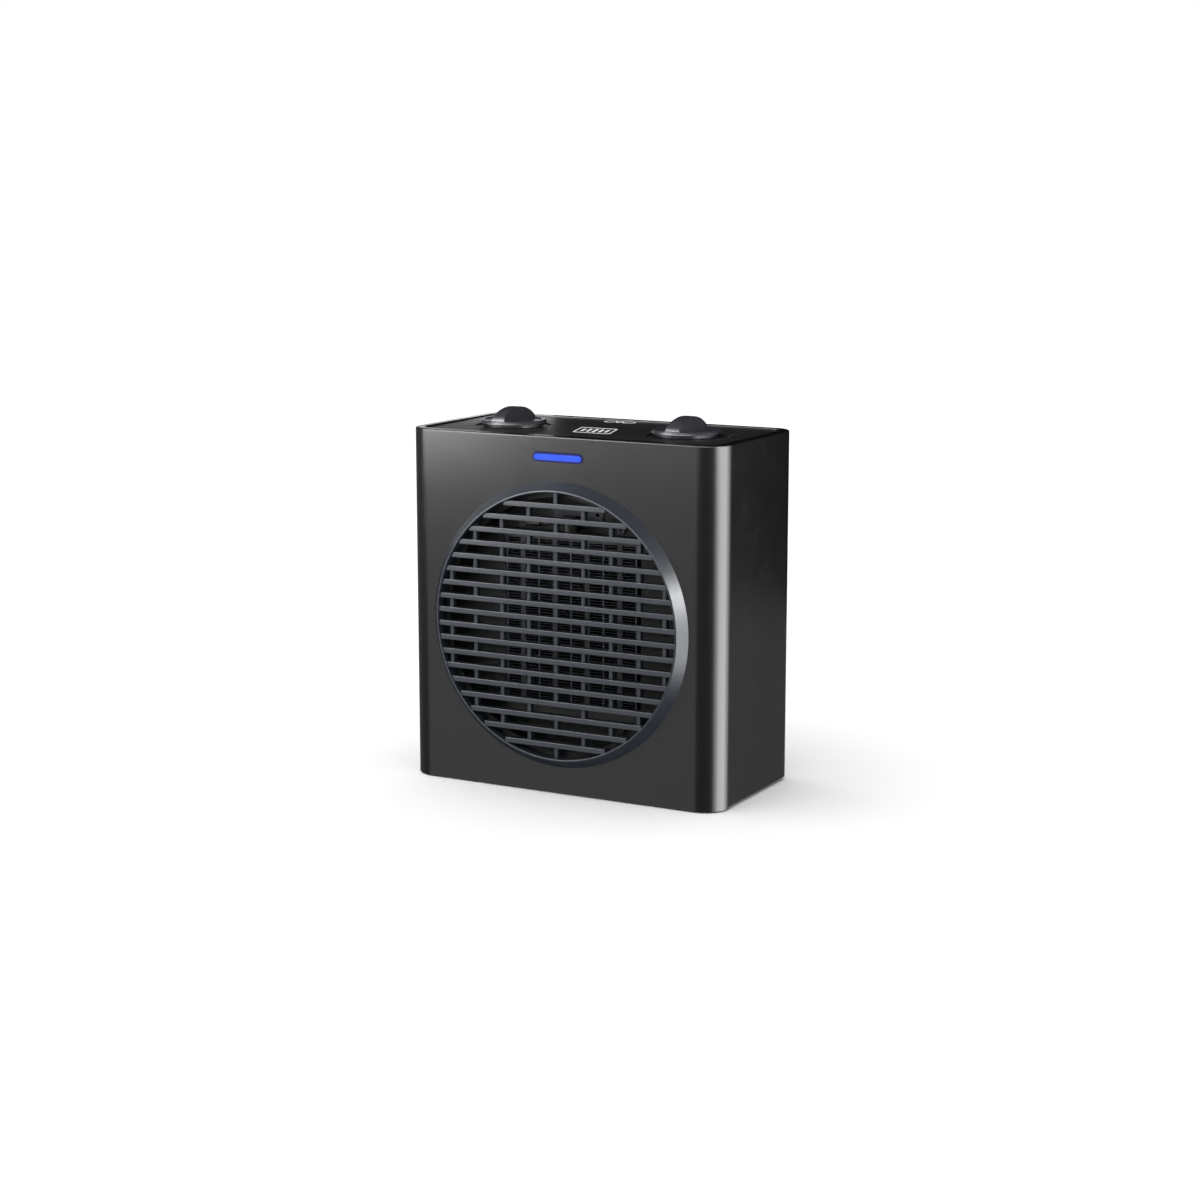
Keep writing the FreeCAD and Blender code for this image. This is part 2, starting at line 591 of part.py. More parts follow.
def cutout_bracket():
    """Small steel clip on the bulkhead that holds the thermal cut-out over the core."""
    back = BULKHEAD_Y[0]
    z = CORE_Z[1] + 11
    tab = box((-14, 24), (back - 1, back), (z + 3, z + 12))
    shelf = box((-14, 24), (back - 12, back), (z + 2, z + 3))
    return cut(fuse(tab, shelf), rod(1.3, (20, back - 3, z + 8), 6), rod(4.2, (3, back - 6.5, z), 8, Z))


def thermal_cutout():
    """Disc-type thermal cut-out with two tabs, hung from its clip."""
    y = BULKHEAD_Y[0] - 6.5
    z = CORE_Z[1] + 11
    can = rod(5.4, (3, y, z - 3.5), 5.5, Z)
    stud = rod(4.2, (3, y, z + 2), 1.0, Z)
    cap = rod(5.0, (3, y, z + 3), 4, Z)
    tabs = [box((3 + s * 8 - 2, 3 + s * 8 + 2), (y - 1.5, y + 1.5), (z + 4.5, z + 5.3)) for s in (-1, 1)]
    arms = [box(sorted((3 + s * 4, 3 + s * 7)), (y - 1.5, y + 1.5), (z + 4.5, z + 5.3)) for s in (-1, 1)]
    return fuse(can, stud, cap, *arms, *tabs)


def thermal_fuse():
    """Axial one-shot fuse in a sleeve, beside the upper rail."""
    z = CORE_Z[1] + 11
    y = BULKHEAD_Y[0] - 3.2
    case = rod(2.0, (-34, y, z), 11, X)
    leads = rod(0.5, (-40, y, z), 23, X)
    return fuse(case, leads)


# ---- duct, fan and motor ----
def air_duct():
    """Round duct in one moulding: front flange, barrel, bulkhead with the core window, and rear lugs."""
    flange = ring(DUCT_FLANGE_R, DUCT_R, (0, INNER_FRONT, AXIS_Z), 1.6)
    barrel = ring(DUCT_R + DUCT_WALL, DUCT_R, (0, INNER_FRONT, AXIS_Z), DUCT_REAR - INNER_FRONT)
    disc = rod(DUCT_R + 1, (0, BULKHEAD_Y[0], AXIS_Z), BULKHEAD_Y[1] - BULKHEAD_Y[0])
    window = box((-FRAME_HALF_W - 0.5, FRAME_HALF_W + 0.5), (BULKHEAD_Y[0] - 1, BULKHEAD_Y[1] + 1), WINDOW_Z)
    lugs = []
    for side in (-1, 1):
        lug_x = sorted((side * (DUCT_R + 0.5), side * (MOUNT_SCREW_X + 6)))
        lugs.append(box(lug_x, (DUCT_REAR - 9, DUCT_REAR), (AXIS_Z - 14, AXIS_Z + 14)))
    duct = fuse(flange, barrel, cut(disc, window), *lugs)
    tools = []
    for angle in GRILLE_SCREW_ANGLES:
        x, z = polar(GRILLE_SCREW_R, angle)
        tools.append(rod(1.5, (x, INNER_FRONT - 1, z), 4))
        tools.append(rod(3.2, (x, INNER_FRONT + 1.6, z), 40))
    for x in (-RAIL_SCREW_X, RAIL_SCREW_X):
        tools += [rod(1.4, (x, BULKHEAD_Y[0] - 1, z), 4) for z in RAIL_SCREW_Z]
    for side in (-1, 1):
        for dz in (-MOUNT_SCREW_DZ, MOUNT_SCREW_DZ):
            tools.append(rod(1.3, (side * MOUNT_SCREW_X, DUCT_REAR - 8, AXIS_Z + dz), 9))
    tools.append(rod(1.1, (20, BULKHEAD_Y[0] - 1, CORE_Z[1] + 19), 2.6))
    return cut(duct, *tools)


def blade_wire(radius, angle_deg, y_low, y_high, sweep_deg):
    """Four-cornered blade section at a radius: the blade leans from y_low to y_high over sweep_deg of turn."""
    corners = []
    for degrees, y in ((angle_deg, y_low), (angle_deg + sweep_deg, y_high)):
        a = math.radians(degrees)
        corners.append(V(radius * math.cos(a), y, radius * math.sin(a)))
    along = (corners[1] - corners[0]).normalize()
    outward = V(corners[0].x + corners[1].x, 0, corners[0].z + corners[1].z).normalize()
    side = along.cross(outward) * (BLADE_T / 2)
    points = [corners[0] - side, corners[1] - side, corners[1] + side, corners[0] + side]
    return Part.makePolygon(points + [points[0]])


def fan_impeller():
    """Axial fan: cup-shaped hub and twisted blades."""
    hub = rod(HUB_R, (0, HUB_Y[0], 0), HUB_Y[1] - HUB_Y[0])
    front_edge = [e for e in hub.Edges if abs(e.BoundBox.YMax - HUB_Y[0]) < 0.01]
    hub = hub.makeFillet(4.0, front_edge)
    cup = ring(HUB_R - 2.5, 5.0, (0, HUB_Y[0] + 3, 0), 30)
    hub = hub.cut(cup)
    blades = []
    for i in range(BLADE_COUNT):
        start = i * 360.0 / BLADE_COUNT
        root = blade_wire(HUB_R - 1.5, start, HUB_Y[0] + 2.5, HUB_Y[1] - 1.5, 42)
        tip = blade_wire(FAN_R + 3, start + 6, HUB_Y[0] + 1.5, HUB_Y[1] - 2.5, 26)
        blades.append(Part.makeLoft([root, tip], True, True))
    trim = rod(FAN_R, (0, HUB_Y[0], 0), HUB_Y[1] - HUB_Y[0])
    blades = [b.common(trim) for b in blades]
    fan = cut(fuse(hub, *blades), rod(SHAFT_R, (0, HUB_Y[0] - 1, 0), 40))
    fan.translate(V(0, 0, AXIS_Z))
    return fan


def impeller_clip():
    """Push-on spring nut that keeps the fan on its shaft."""
    return ring(5.0, SHAFT_R, (0, HUB_Y[0] - 1.2, AXIS_Z), 1.2)


def motor_rotor():
    """Laminated rotor on the shaft."""
    return ring(ROTOR_R, SHAFT_R, (0, STATOR_Y[0] - 0.5, AXIS_Z), STATOR_Y[1] - STATOR_Y[0] + 1)


def motor_stator():
    """Shaded-pole lamination stack: bore above, winding leg below."""
    stack = box((-24, 24), STATOR_Y, (AXIS_Z - 51, AXIS_Z + 20))
    window = box((-14, 14), (0, 80), (AXIS_Z - 37, AXIS_Z - 20))
    bore = rod(ROTOR_R + AIR_GAP, (0, 0, AXIS_Z), 80)
    bolts = [rod(2.1, (x, 0, AXIS_Z), 80) for x in (-MOTOR_BOLT_X, MOTOR_BOLT_X)]
    return cut(stack, window, bore, *bolts)


def coil_bobbin():
    """Plastic bobbin round the winding leg."""
    leg_y = (STATOR_Y[0] - 0.1, STATOR_Y[1] + 0.1)
    leg_z = (AXIS_Z - 51.1, AXIS_Z - 36.9)
    core = box((-13.6, 13.6), (leg_y[0] - 1.2, leg_y[1] + 1.2), (leg_z[0] - 1.2, leg_z[1] + 1.2))
    flanges = [box((x, x + 1.2), (leg_y[0] - 9, leg_y[1] + 9), (leg_z[0] - 9, leg_z[1] + 9)) for x in (-13.6, 12.4)]
    return cut(fuse(core, *flanges), box((-20, 20), leg_y, leg_z))


def motor_coil():
    """Copper winding on the bobbin."""
    y = (STATOR_Y[0] - 0.1 - 1.2, STATOR_Y[1] + 0.1 + 1.2)
    z = (AXIS_Z - 51.1 - 1.2, AXIS_Z - 36.9 + 1.2)
    turns = box((-12.3, 12.3), (y[0] - 6.8, y[1] + 6.8), (z[0] - 6.8, z[1] + 6.8))
    long_edges = [e for e in turns.Edges if abs(e.Vertexes[0].Point.x - e.Vertexes[-1].Point.x) > 1]
    return cut(turns.makeFillet(4.0, long_edges), box((-20, 20), y, z))


def motor_bracket(plate_y, feet_y):
    """Bearing bracket: a plate with a bush hole on two feet against the stator."""
    plate = box((-24, 24), plate_y, (AXIS_Z - 9, AXIS_Z + 9))
    feet = [box((low, low + 8), feet_y, (AXIS_Z - 9, AXIS_Z + 9)) for low in (-24, 16)]
    bolts = [rod(2.1, (x, 0, AXIS_Z), 80) for x in (-MOTOR_BOLT_X, MOTOR_BOLT_X)]
    return cut(fuse(plate, *feet), rod(BUSH_R, (0, 0, AXIS_Z), 80), *bolts)


def bush(y):
    """Sintered bearing bush with running clearance on the shaft."""
    return ring(BUSH_R, SHAFT_R + RUN_CLEARANCE, (0, y, AXIS_Z), 4.0)


def motor_bolts():
    """Two long bolts through brackets, stator, spacers and mount."""
    tail = MOUNT_Y[0] - 4.0
    top = STATOR_Y[1] + 3.5 + BRACKET_T
    bolts = []
    for x in (-MOTOR_BOLT_X, MOTOR_BOLT_X):
        head = rod(3.8, (x, top, AXIS_Z), 2.4)
        bolts.append(fuse(head, rod(2.0, (x, tail, AXIS_Z), top - tail + 0.1)))
    return group(bolts)


def hex_nut(x, y):
    """Nut on a motor bolt, in front of the mount."""
    points = [V(x + 4 * math.cos(math.radians(a)), y, AXIS_Z + 4 * math.sin(math.radians(a))) for a in range(0, 361, 60)]
    body = Part.Face(Part.makePolygon(points)).extrude(V(0, 2.6, 0))
    return cut(body, rod(2.0, (x, y - 1, AXIS_Z), 6))


def motor_spacers():
    """Rubber spacers between the mount and the front bracket."""
    length = FRONT_BRACKET_Y - MOUNT_Y[1]
    return group(ring(4.5, 2.1, (x, MOUNT_Y[1], AXIS_Z), length) for x in (-MOTOR_BOLT_X, MOTOR_BOLT_X))


def motor_mount():
    """Steel strap across the duct that carries the motor."""
    strap = box((-98, 98), MOUNT_Y, (AXIS_Z - 13, AXIS_Z + 13))
    tools = [rod(8.0, (0, 0, AXIS_Z), 60)]
    tools += [rod(2.1, (x, 0, AXIS_Z), 60) for x in (-MOTOR_BOLT_X, MOTOR_BOLT_X)]
    tools += [rod(1.6, (s * MOUNT_SCREW_X, 0, AXIS_Z + dz), 60)
              for s in (-1, 1) for dz in (-MOUNT_SCREW_DZ, MOUNT_SCREW_DZ)]
    return cut(strap, *tools)


def mount_screws():
    """Screws from behind through the strap into the duct lugs."""
    y = MOUNT_Y[1] + 1.6
    places = [(s * MOUNT_SCREW_X, AXIS_Z + dz) for s in (-1, 1) for dz in (-MOUNT_SCREW_DZ, MOUNT_SCREW_DZ)]
    return group(screw(1.3, 2.8, 1.6, 9.5, (x, y, z), -Y) for x, z in places)


def grille_screws():
    """Screws from behind through the duct flange into the grille bosses."""
    y = INNER_FRONT + 1.6 + 1.6
    places = [polar(GRILLE_SCREW_R, a) for a in GRILLE_SCREW_ANGLES]
    return group(screw(1.2, 2.8, 1.6, 8.0, (x, y, z), -Y) for x, z in places)


# ---- base fittings ----
def tip_switch_body():
    """Tip-over switch case over the plunger, on four short legs."""
    x, y = PLUNGER_X, PLUNGER_Y
    case = box((x - 12, x + 12), (y - 8, y + 8), (24, 38))
    legs = [box((x + sx * 10.5 - 1.5, x + sx * 10.5 + 1.5), (y - 8, y + 8), (BASE_Z[1], 24)) for sx in (-1, 1)]
    cavity = rod(2.6, (x, y, 23), 9, Z)
    return cut(fuse(case, *legs), cavity)


def tip_plunger():
    """Plunger held up by the floor: foot pad, stem, collar under the spring and a switch tip."""
    x, y = PLUNGER_X, PLUNGER_Y
    stem = rod(PLUNGER_R, (x, y, 0), 14, Z)
    collar = rod(6.0, (x, y, 14.8), 1.6, Z)
    neck = rod(PLUNGER_R, (x, y, 14), 1, Z)
    tip = rod(2.2, (x, y, 16), 12, Z)
    return fuse(stem, neck, collar, tip)


def tip_spring():
    """Return spring between the collar and the switch case, drawn as its envelope."""
    return ring(4.4, 3.0, (PLUNGER_X, PLUNGER_Y, 16.5), 7.4, Z)


def cord_gland():
    """Cord bush in the back panel: flush flange outside, barrel and lock ring inside."""
    inner = BACK - WALL
    flange = rod(9.0, (GLAND_X, BACK - 1.5, GLAND_Z), 1.5)
    barrel = rod(7.0, (GLAND_X, BACK - GLAND_LENGTH, GLAND_Z), GLAND_LENGTH - 1)
    lock = rod(8.6, (GLAND_X, inner - 2.5, GLAND_Z), 2.4)
    return cut(fuse(flange, barrel, lock), rod(GLAND_BORE_R, (GLAND_X, BACK - GLAND_LENGTH - 1, GLAND_Z), 30))


def cord_clamp():
    """Clamp bar and cradle that grip the cord inside the casing."""
    y = (CLAMP_Y - 5, CLAMP_Y + 5)
    cradle = box((GLAND_X - 14, GLAND_X + 14), y, (BASE_Z[1], GLAND_Z - 0.4))
    bar = box((GLAND_X - 14, GLAND_X + 14), y, (GLAND_Z + 0.4, GLAND_Z + 6))
    bore = rod(GLAND_BORE_R, (GLAND_X, 0, GLAND_Z), 60)
    holes = [rod(1.3, (GLAND_X + dx, CLAMP_Y, 10), 40, Z) for dx in (-9, 9)]
    return group([cut(cradle, bore, *holes), cut(bar, bore, *holes)])


def clamp_screws():
    """Two screws through the clamp bar."""
    return group(screw(1.3, 2.8, 1.6, 18, (GLAND_X + dx, CLAMP_Y, GLAND_Z + 7.6), -Z) for dx in (-9, 9))


def terminal_block():
    """Three-way terminal block on the base."""
    block = box((10, 46), (26, 44), (BASE_Z[1], 20))
    tools = [rod(2.4, (16 + 12 * i, 25, 12), 20) for i in range(3)]
    tools += [rod(2.2, (16 + 12 * i, y, 13), 10, Z) for i in range(3) for y in (30, 40)]
    return cut(block, *tools)


def terminal_screws():
    """Clamping screws of the terminal block."""
    return group(rod(2.1, (16 + 12 * i, y, 13.5), 5.5, Z) for i in range(3) for y in (30, 40))


def rear_cover_screws():
    """Four screws, heads sunk below the back panel."""
    return group(screw(1.5, 3.3, 1.2, 14, (x, BACK - 0.3, z), -Y) for x, z in COVER_SCREWS)


def base_screws():
    """Four screws from below, heads sunk in the base."""
    z = BASE_Z[0] + 0.1
    return group(screw(1.5, 3.3, 1.3, 14, (s * BASE_SCREW_X, y, z), Z) for s in (-1, 1) for y in BASE_SCREW_Y)


PIECES = {
    "outer_sleeve": outer_sleeve,
    "front_grille": front_grille,
    "top_panel": top_panel,
    "rear_cover": rear_cover,
    "base_plate": base_plate,
    "rubber_feet": rubber_feet,
    "indicator_lens": indicator_lens,
    "indicator_lamp": indicator_lamp,
    "function_knob": lambda: dial(-DIAL_X),
    "thermostat_knob": lambda: dial(DIAL_X),
    "function_spindle": lambda: spindle(-DIAL_X, 219.5),
    "thermostat_spindle": lambda: spindle(DIAL_X, 217.0),
    "function_switch_body": function_switch_body,
    "function_switch_base": function_switch_base,
    "function_switch_rotor": function_switch_rotor,
    "function_switch_terminals": lambda: group(switch_tabs()),
    "thermostat_frame": thermostat_frame,
    "bimetal_blade": lambda: blade(211.0, 0.8, -16),
    "contact_blade": lambda: blade(215.0, 0.6, -10),
    "blade_stack": blade_stack,
    "control_screws": control_screws,
    "ptc_bars": ptc_bars,
    "ptc_fins": ptc_fins,
    "ptc_separators": ptc_separators,
    "ptc_frame_upper": ptc_frame_upper,
    "ptc_frame_lower": ptc_frame_lower,
    "ptc_terminals": lambda: group(terminal_tabs()),
    "ptc_screws": ptc_screws,
    "thermal_cutout": thermal_cutout,
    "cutout_bracket": cutout_bracket,
    "thermal_fuse": thermal_fuse,
    "air_duct": air_duct,
    "fan_impeller": fan_impeller,
    "impeller_clip": impeller_clip,
    "motor_shaft": lambda: rod(SHAFT_R, (0, SHAFT_Y[0], AXIS_Z), SHAFT_Y[1] - SHAFT_Y[0]),
    "motor_rotor": motor_rotor,
    "motor_stator": motor_stator,
    "coil_bobbin": coil_bobbin,
    "motor_coil": motor_coil,
    "front_motor_bracket": lambda: motor_bracket(
        (FRONT_BRACKET_Y, FRONT_BRACKET_Y + BRACKET_T), (FRONT_BRACKET_Y, STATOR_Y[0])),
    "rear_motor_bracket": lambda: motor_bracket(
        (STATOR_Y[1] + 3.5, STATOR_Y[1] + 3.5 + BRACKET_T), (STATOR_Y[1], STATOR_Y[1] + 3.5 + BRACKET_T)),
    "front_bearing": lambda: bush(FRONT_BRACKET_Y - 0.5),
    "rear_bearing": lambda: bush(STATOR_Y[1] + 2.0),
    "motor_bolts": motor_bolts,
    "motor_nuts": lambda: group(hex_nut(x, MOUNT_Y[0] - 2.6) for x in (-MOTOR_BOLT_X, MOTOR_BOLT_X)),
    "motor_spacers": motor_spacers,
    "motor_mount": motor_mount,
    "mount_screws": mount_screws,
    "grille_screws": grille_screws,
    "tip_switch_body": tip_switch_body,
    "tip_plunger": tip_plunger,
    "tip_spring": tip_spring,
    "cord_gland": cord_gland,
    "cord_clamp": cord_clamp,
    "clamp_screws": clamp_screws,
    "terminal_block": terminal_block,
    "terminal_screws": terminal_screws,
    "rear_cover_screws": rear_cover_screws,
    "base_screws": base_screws,
}


def main():
    os.makedirs("parts", exist_ok=True)
    for name, make in PIECES.items():
        shape = make()
        shape.exportStep(f"parts/{name}.step")
        span = shape.BoundBox
        print(f"{name:26s} solids {len(shape.Solids):3d} valid {shape.isValid()} "
              f"volume {shape.Volume / 1000:8.2f} cm3  z {span.ZMin:7.2f}..{span.ZMax:7.2f}")


main()
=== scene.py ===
"""Ceramic space heater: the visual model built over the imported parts.

Shapes are worked out in millimetres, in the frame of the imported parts, and make_piece() turns them to metres.
"""

import json
import logging
import math
from collections.abc import Callable, Iterable, Sequence
from dataclasses import dataclass, field
from enum import Enum

import bmesh
import bpy
from bmesh.types import BMEdge, BMesh, BMFace, BMVert
from mathutils import Matrix, Quaternion, Vector


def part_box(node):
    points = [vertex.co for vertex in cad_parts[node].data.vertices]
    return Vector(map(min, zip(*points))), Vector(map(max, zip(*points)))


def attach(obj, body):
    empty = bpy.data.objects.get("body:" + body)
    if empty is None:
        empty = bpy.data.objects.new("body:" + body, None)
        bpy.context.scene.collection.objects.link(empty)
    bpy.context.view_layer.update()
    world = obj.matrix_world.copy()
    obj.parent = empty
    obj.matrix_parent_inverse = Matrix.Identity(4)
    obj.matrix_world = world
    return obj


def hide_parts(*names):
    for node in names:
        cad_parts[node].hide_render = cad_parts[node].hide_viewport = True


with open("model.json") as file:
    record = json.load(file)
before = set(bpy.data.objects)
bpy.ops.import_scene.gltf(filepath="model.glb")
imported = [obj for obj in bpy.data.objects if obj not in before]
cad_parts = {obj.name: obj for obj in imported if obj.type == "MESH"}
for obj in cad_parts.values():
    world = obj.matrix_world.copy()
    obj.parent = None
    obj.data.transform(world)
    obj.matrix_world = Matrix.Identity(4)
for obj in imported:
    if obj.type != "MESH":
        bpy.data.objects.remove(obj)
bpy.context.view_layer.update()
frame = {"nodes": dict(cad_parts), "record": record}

LOG = logging.getLogger("heater")
MM = 0.001
LENS_FLANGE = 2.0
"""How far the indicator lens reaches behind the wall, all round its window."""
SCREW_HEAD = 3.3
"""Radius of the heads of the screws at the casing's corners."""
FLAT = Matrix.Identity(4)
STAND_UP = Matrix.Rotation(math.pi / 2, 4, "X")
"""Turns a shape drawn flat so that its local Z points forward, along -Y."""
FACE_BACK = Matrix.Rotation(math.pi, 4, "Z") @ STAND_UP
"""Turns a shape drawn flat so that its local Z points back, along +Y, and its x is mirrored."""

Point = tuple[float, float, float]


class Body(Enum):
    """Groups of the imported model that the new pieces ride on."""

    HOUSING = "housing"
    FUNCTION_DIAL = "function_dial"
    THERMOSTAT_DIAL = "thermostat_dial"


class Ray(Enum):
    """Ray kinds that a light, a card or the floor can be hidden from."""

    CAMERA = "visible_camera"
    DIFFUSE = "visible_diffuse"
    GLOSSY = "visible_glossy"
    SHADOW = "visible_shadow"
    TRANSMISSION = "visible_transmission"


# ---------------------------------------------------------------- helpers: nodes and colours
def linear(hex_colour: str) -> tuple[float, float, float, float]:
    """Turns an sRGB hex colour to linear.

    Args:
        hex_colour: six hex digits with a leading #.

    Returns:
        Linear red, green, blue and an alpha of one.
    """
    channels = [int(hex_colour[i:i + 2], 16) / 255 for i in (1, 3, 5)]
    flat = [c / 12.92 if c <= 0.04045 else ((c + 0.055) / 1.055) ** 2.4 for c in channels]
    return (flat[0], flat[1], flat[2], 1.0)


def add_node(
    tree: bpy.types.NodeTree,
    kind: str,
    settings: dict[str, object] | None = None,
    inputs: dict[str | int, object] | None = None,
) -> bpy.types.Node:
    """Adds one node with its settings, input values and links.

    Args:
        tree: node tree that takes the node.
        kind: Blender's name of the node type.
        settings: attributes to set on the node.
        inputs: a value, or a socket to link from, for each named or numbered input.

    Returns:
        The new node.
    """
    node = tree.nodes.new(kind)
    for name, value in (settings or {}).items():
        setattr(node, name, value)
    for key, value in (inputs or {}).items():
        if isinstance(value, bpy.types.NodeSocket):
            tree.links.new(value, node.inputs[key])
        else:
            node.inputs[key].default_value = value
    return node


def start_material(name: str) -> tuple[bpy.types.Material, bpy.types.NodeTree, bpy.types.NodeSocket]:
    """Starts an empty node material.

    Args:
        name: name of the finish.

    Returns:
        The material, its tree, and its Object coordinates in metres.
    """
    material = bpy.data.materials.new(name)
    material.use_nodes = True
    tree = material.node_tree
    tree.nodes.clear()
    return material, tree, add_node(tree, "ShaderNodeTexCoord").outputs["Object"]


# ---------------------------------------------------------------- finishes
@dataclass(frozen=True)
class Finish:
    """A surface finish; each kind below draws its own colour, gloss pattern and relief."""

    name: str
    colour: str
    shade: str
    roughness: tuple[float, float]

    def material(self) -> bpy.types.Material:
        """Gives the material, made on first use."""
        return bpy.data.materials.get(self.name) or self.make()

    def make(self) -> bpy.types.Material:
        """Draws the material's nodes."""
        raise NotImplementedError

    def surface(
        self,
        tree: bpy.types.NodeTree,
        tone: bpy.types.NodeSocket | Sequence[float],
        patches: bpy.types.NodeSocket,
        height: bpy.types.NodeSocket,
        depth_mm: float,
        extra: dict[str, object],
        spread: tuple[float, float] = (0.3, 0.7),
    ) -> None:
        """Ends the tree with uneven gloss, relief and the shader.

        Args:
            tree: node tree of the material.
            tone: base colour.
            patches: pattern that the roughness follows.
            height: pattern of the relief.
            depth_mm: depth of the relief.
            extra: further values of the shader's own sockets.
            spread: part of the pattern's range that the roughness spans.
        """
        gloss = add_node(tree, "ShaderNodeMapRange", inputs={
            "Value": patches, "From Min": spread[0], "From Max": spread[1],
            "To Min": self.roughness[0], "To Max": self.roughness[1],
        })
        bump = add_node(tree, "ShaderNodeBump", inputs={"Height": height, "Distance": depth_mm * MM, "Strength": 1.0})
        shader = add_node(tree, "ShaderNodeBsdfPrincipled", inputs={
            "Base Color": tone, "Roughness": gloss.outputs["Result"], "Normal": bump.outputs["Normal"], **extra,
        })
        add_node(tree, "ShaderNodeOutputMaterial", inputs={"Surface": shader.outputs[0]})


@dataclass(frozen=True)
class Moulded(Finish):
    """Moulded plastic or rubber: mottled colour, uneven gloss and a spark or grain texture of a real size."""

    grain_mm: float = 0.5
    grain_depth_mm: float = 0.01
    mottle_mm: float = 28.0
    ior: float = 1.5
    flow_stretch: float = 1.0

    def make(self) -> bpy.types.Material:
        """Draws mottled colour, roughness patches and grain bump.

        Returns:
            The material.
        """
        material, tree, coords = start_material(self.name)
        place = add_node(tree, "ShaderNodeMapping", inputs={
            "Vector": coords, "Scale": (self.flow_stretch, self.flow_stretch, 1.0),
        })
        mottle = add_node(tree, "ShaderNodeTexNoise", inputs={
            "Vector": place.outputs[0], "Scale": 1 / (self.mottle_mm * MM), "Detail": 5.0, "Roughness": 0.62,
        })
        tone = add_node(tree, "ShaderNodeMix", {"data_type": "RGBA"}, {
            0: mottle.outputs["Fac"], 6: linear(self.colour), 7: linear(self.shade),
        })
        handled = add_node(tree, "ShaderNodeTexNoise", inputs={
            "Vector": coords, "Scale": 1 / (self.mottle_mm * 0.35 * MM), "Detail": 4.0, "Distortion": 0.6,
        })
        grain = add_node(tree, "ShaderNodeTexNoise", inputs={
            "Vector": coords, "Scale": 1 / (self.grain_mm * MM), "Detail": 2.0, "Roughness": 0.55,
        })
        self.surface(tree, tone.outputs[2], handled.outputs["Fac"], grain.outputs["Fac"], self.grain_depth_mm,
                     {"IOR": self.ior})
        return material


@dataclass(frozen=True)
class Plated(Finish):
    """Metal: drawn or rolled streaks along one direction and cloudy tone of the plating or oxide."""

    streak_mm: Point = (0.25, 6.0, 6.0)
    streak_depth_mm: float = 0.004
    cloud_mm: float = 9.0

    def make(self) -> bpy.types.Material:
        """Draws cloudy metal colour, streaked roughness and a streak bump.

        Returns:
            The material.
        """
        material, tree, coords = start_material(self.name)
        cloud = add_node(tree, "ShaderNodeTexNoise", inputs={
            "Vector": coords, "Scale": 1 / (self.cloud_mm * MM), "Detail": 6.0, "Roughness": 0.6,
        })
        tone = add_node(tree, "ShaderNodeMix", {"data_type": "RGBA"}, {
            0: cloud.outputs["Fac"], 6: linear(self.colour), 7: linear(self.shade),
        })
        lay = add_node(tree, "ShaderNodeMapping", inputs={
            "Vector": coords, "Scale": [1 / (s * MM) for s in self.streak_mm],
        })
        streak = add_node(tree, "ShaderNodeTexNoise", inputs={"Vector": lay.outputs[0], "Scale": 1.0, "Detail": 3.0})
        self.surface(tree, tone.outputs[2], streak.outputs["Fac"], streak.outputs["Fac"], self.streak_depth_mm,
                     {"Metallic": 1.0})
        return material


@dataclass(frozen=True)
class Layered(Finish):
    """Stacked or wound metal: even bands across one axis, with a dark line between neighbours."""

    axis: str = "Y"
    pitch_mm: float = 1.0
    band_depth_mm: float = 0.08

    def make(self) -> bpy.types.Material:
        """Draws bands across the axis as colour, gloss and height.

        Returns:
            The material.
        """
        material, tree, coords = start_material(self.name)
        wave = add_node(tree, "ShaderNodeTexWave", {"wave_type": "BANDS", "bands_direction": self.axis}, {
            "Vector": coords, "Scale": math.tau / (20 * self.pitch_mm * MM), "Distortion": 0.15, "Detail": 1.0,
            "Detail Scale": 4.0,
        })
        blotch = add_node(tree, "ShaderNodeTexNoise", inputs={"Vector": coords, "Scale": 160.0, "Detail": 4.0})
        tone = add_node(tree, "ShaderNodeMix", {"data_type": "RGBA"}, {
            0: wave.outputs["Fac"], 6: linear(self.shade), 7: linear(self.colour),
        })
        self.surface(tree, tone.outputs[2], blotch.outputs["Fac"], wave.outputs["Fac"], self.band_depth_mm,
                     {"Metallic": 1.0})
        return material


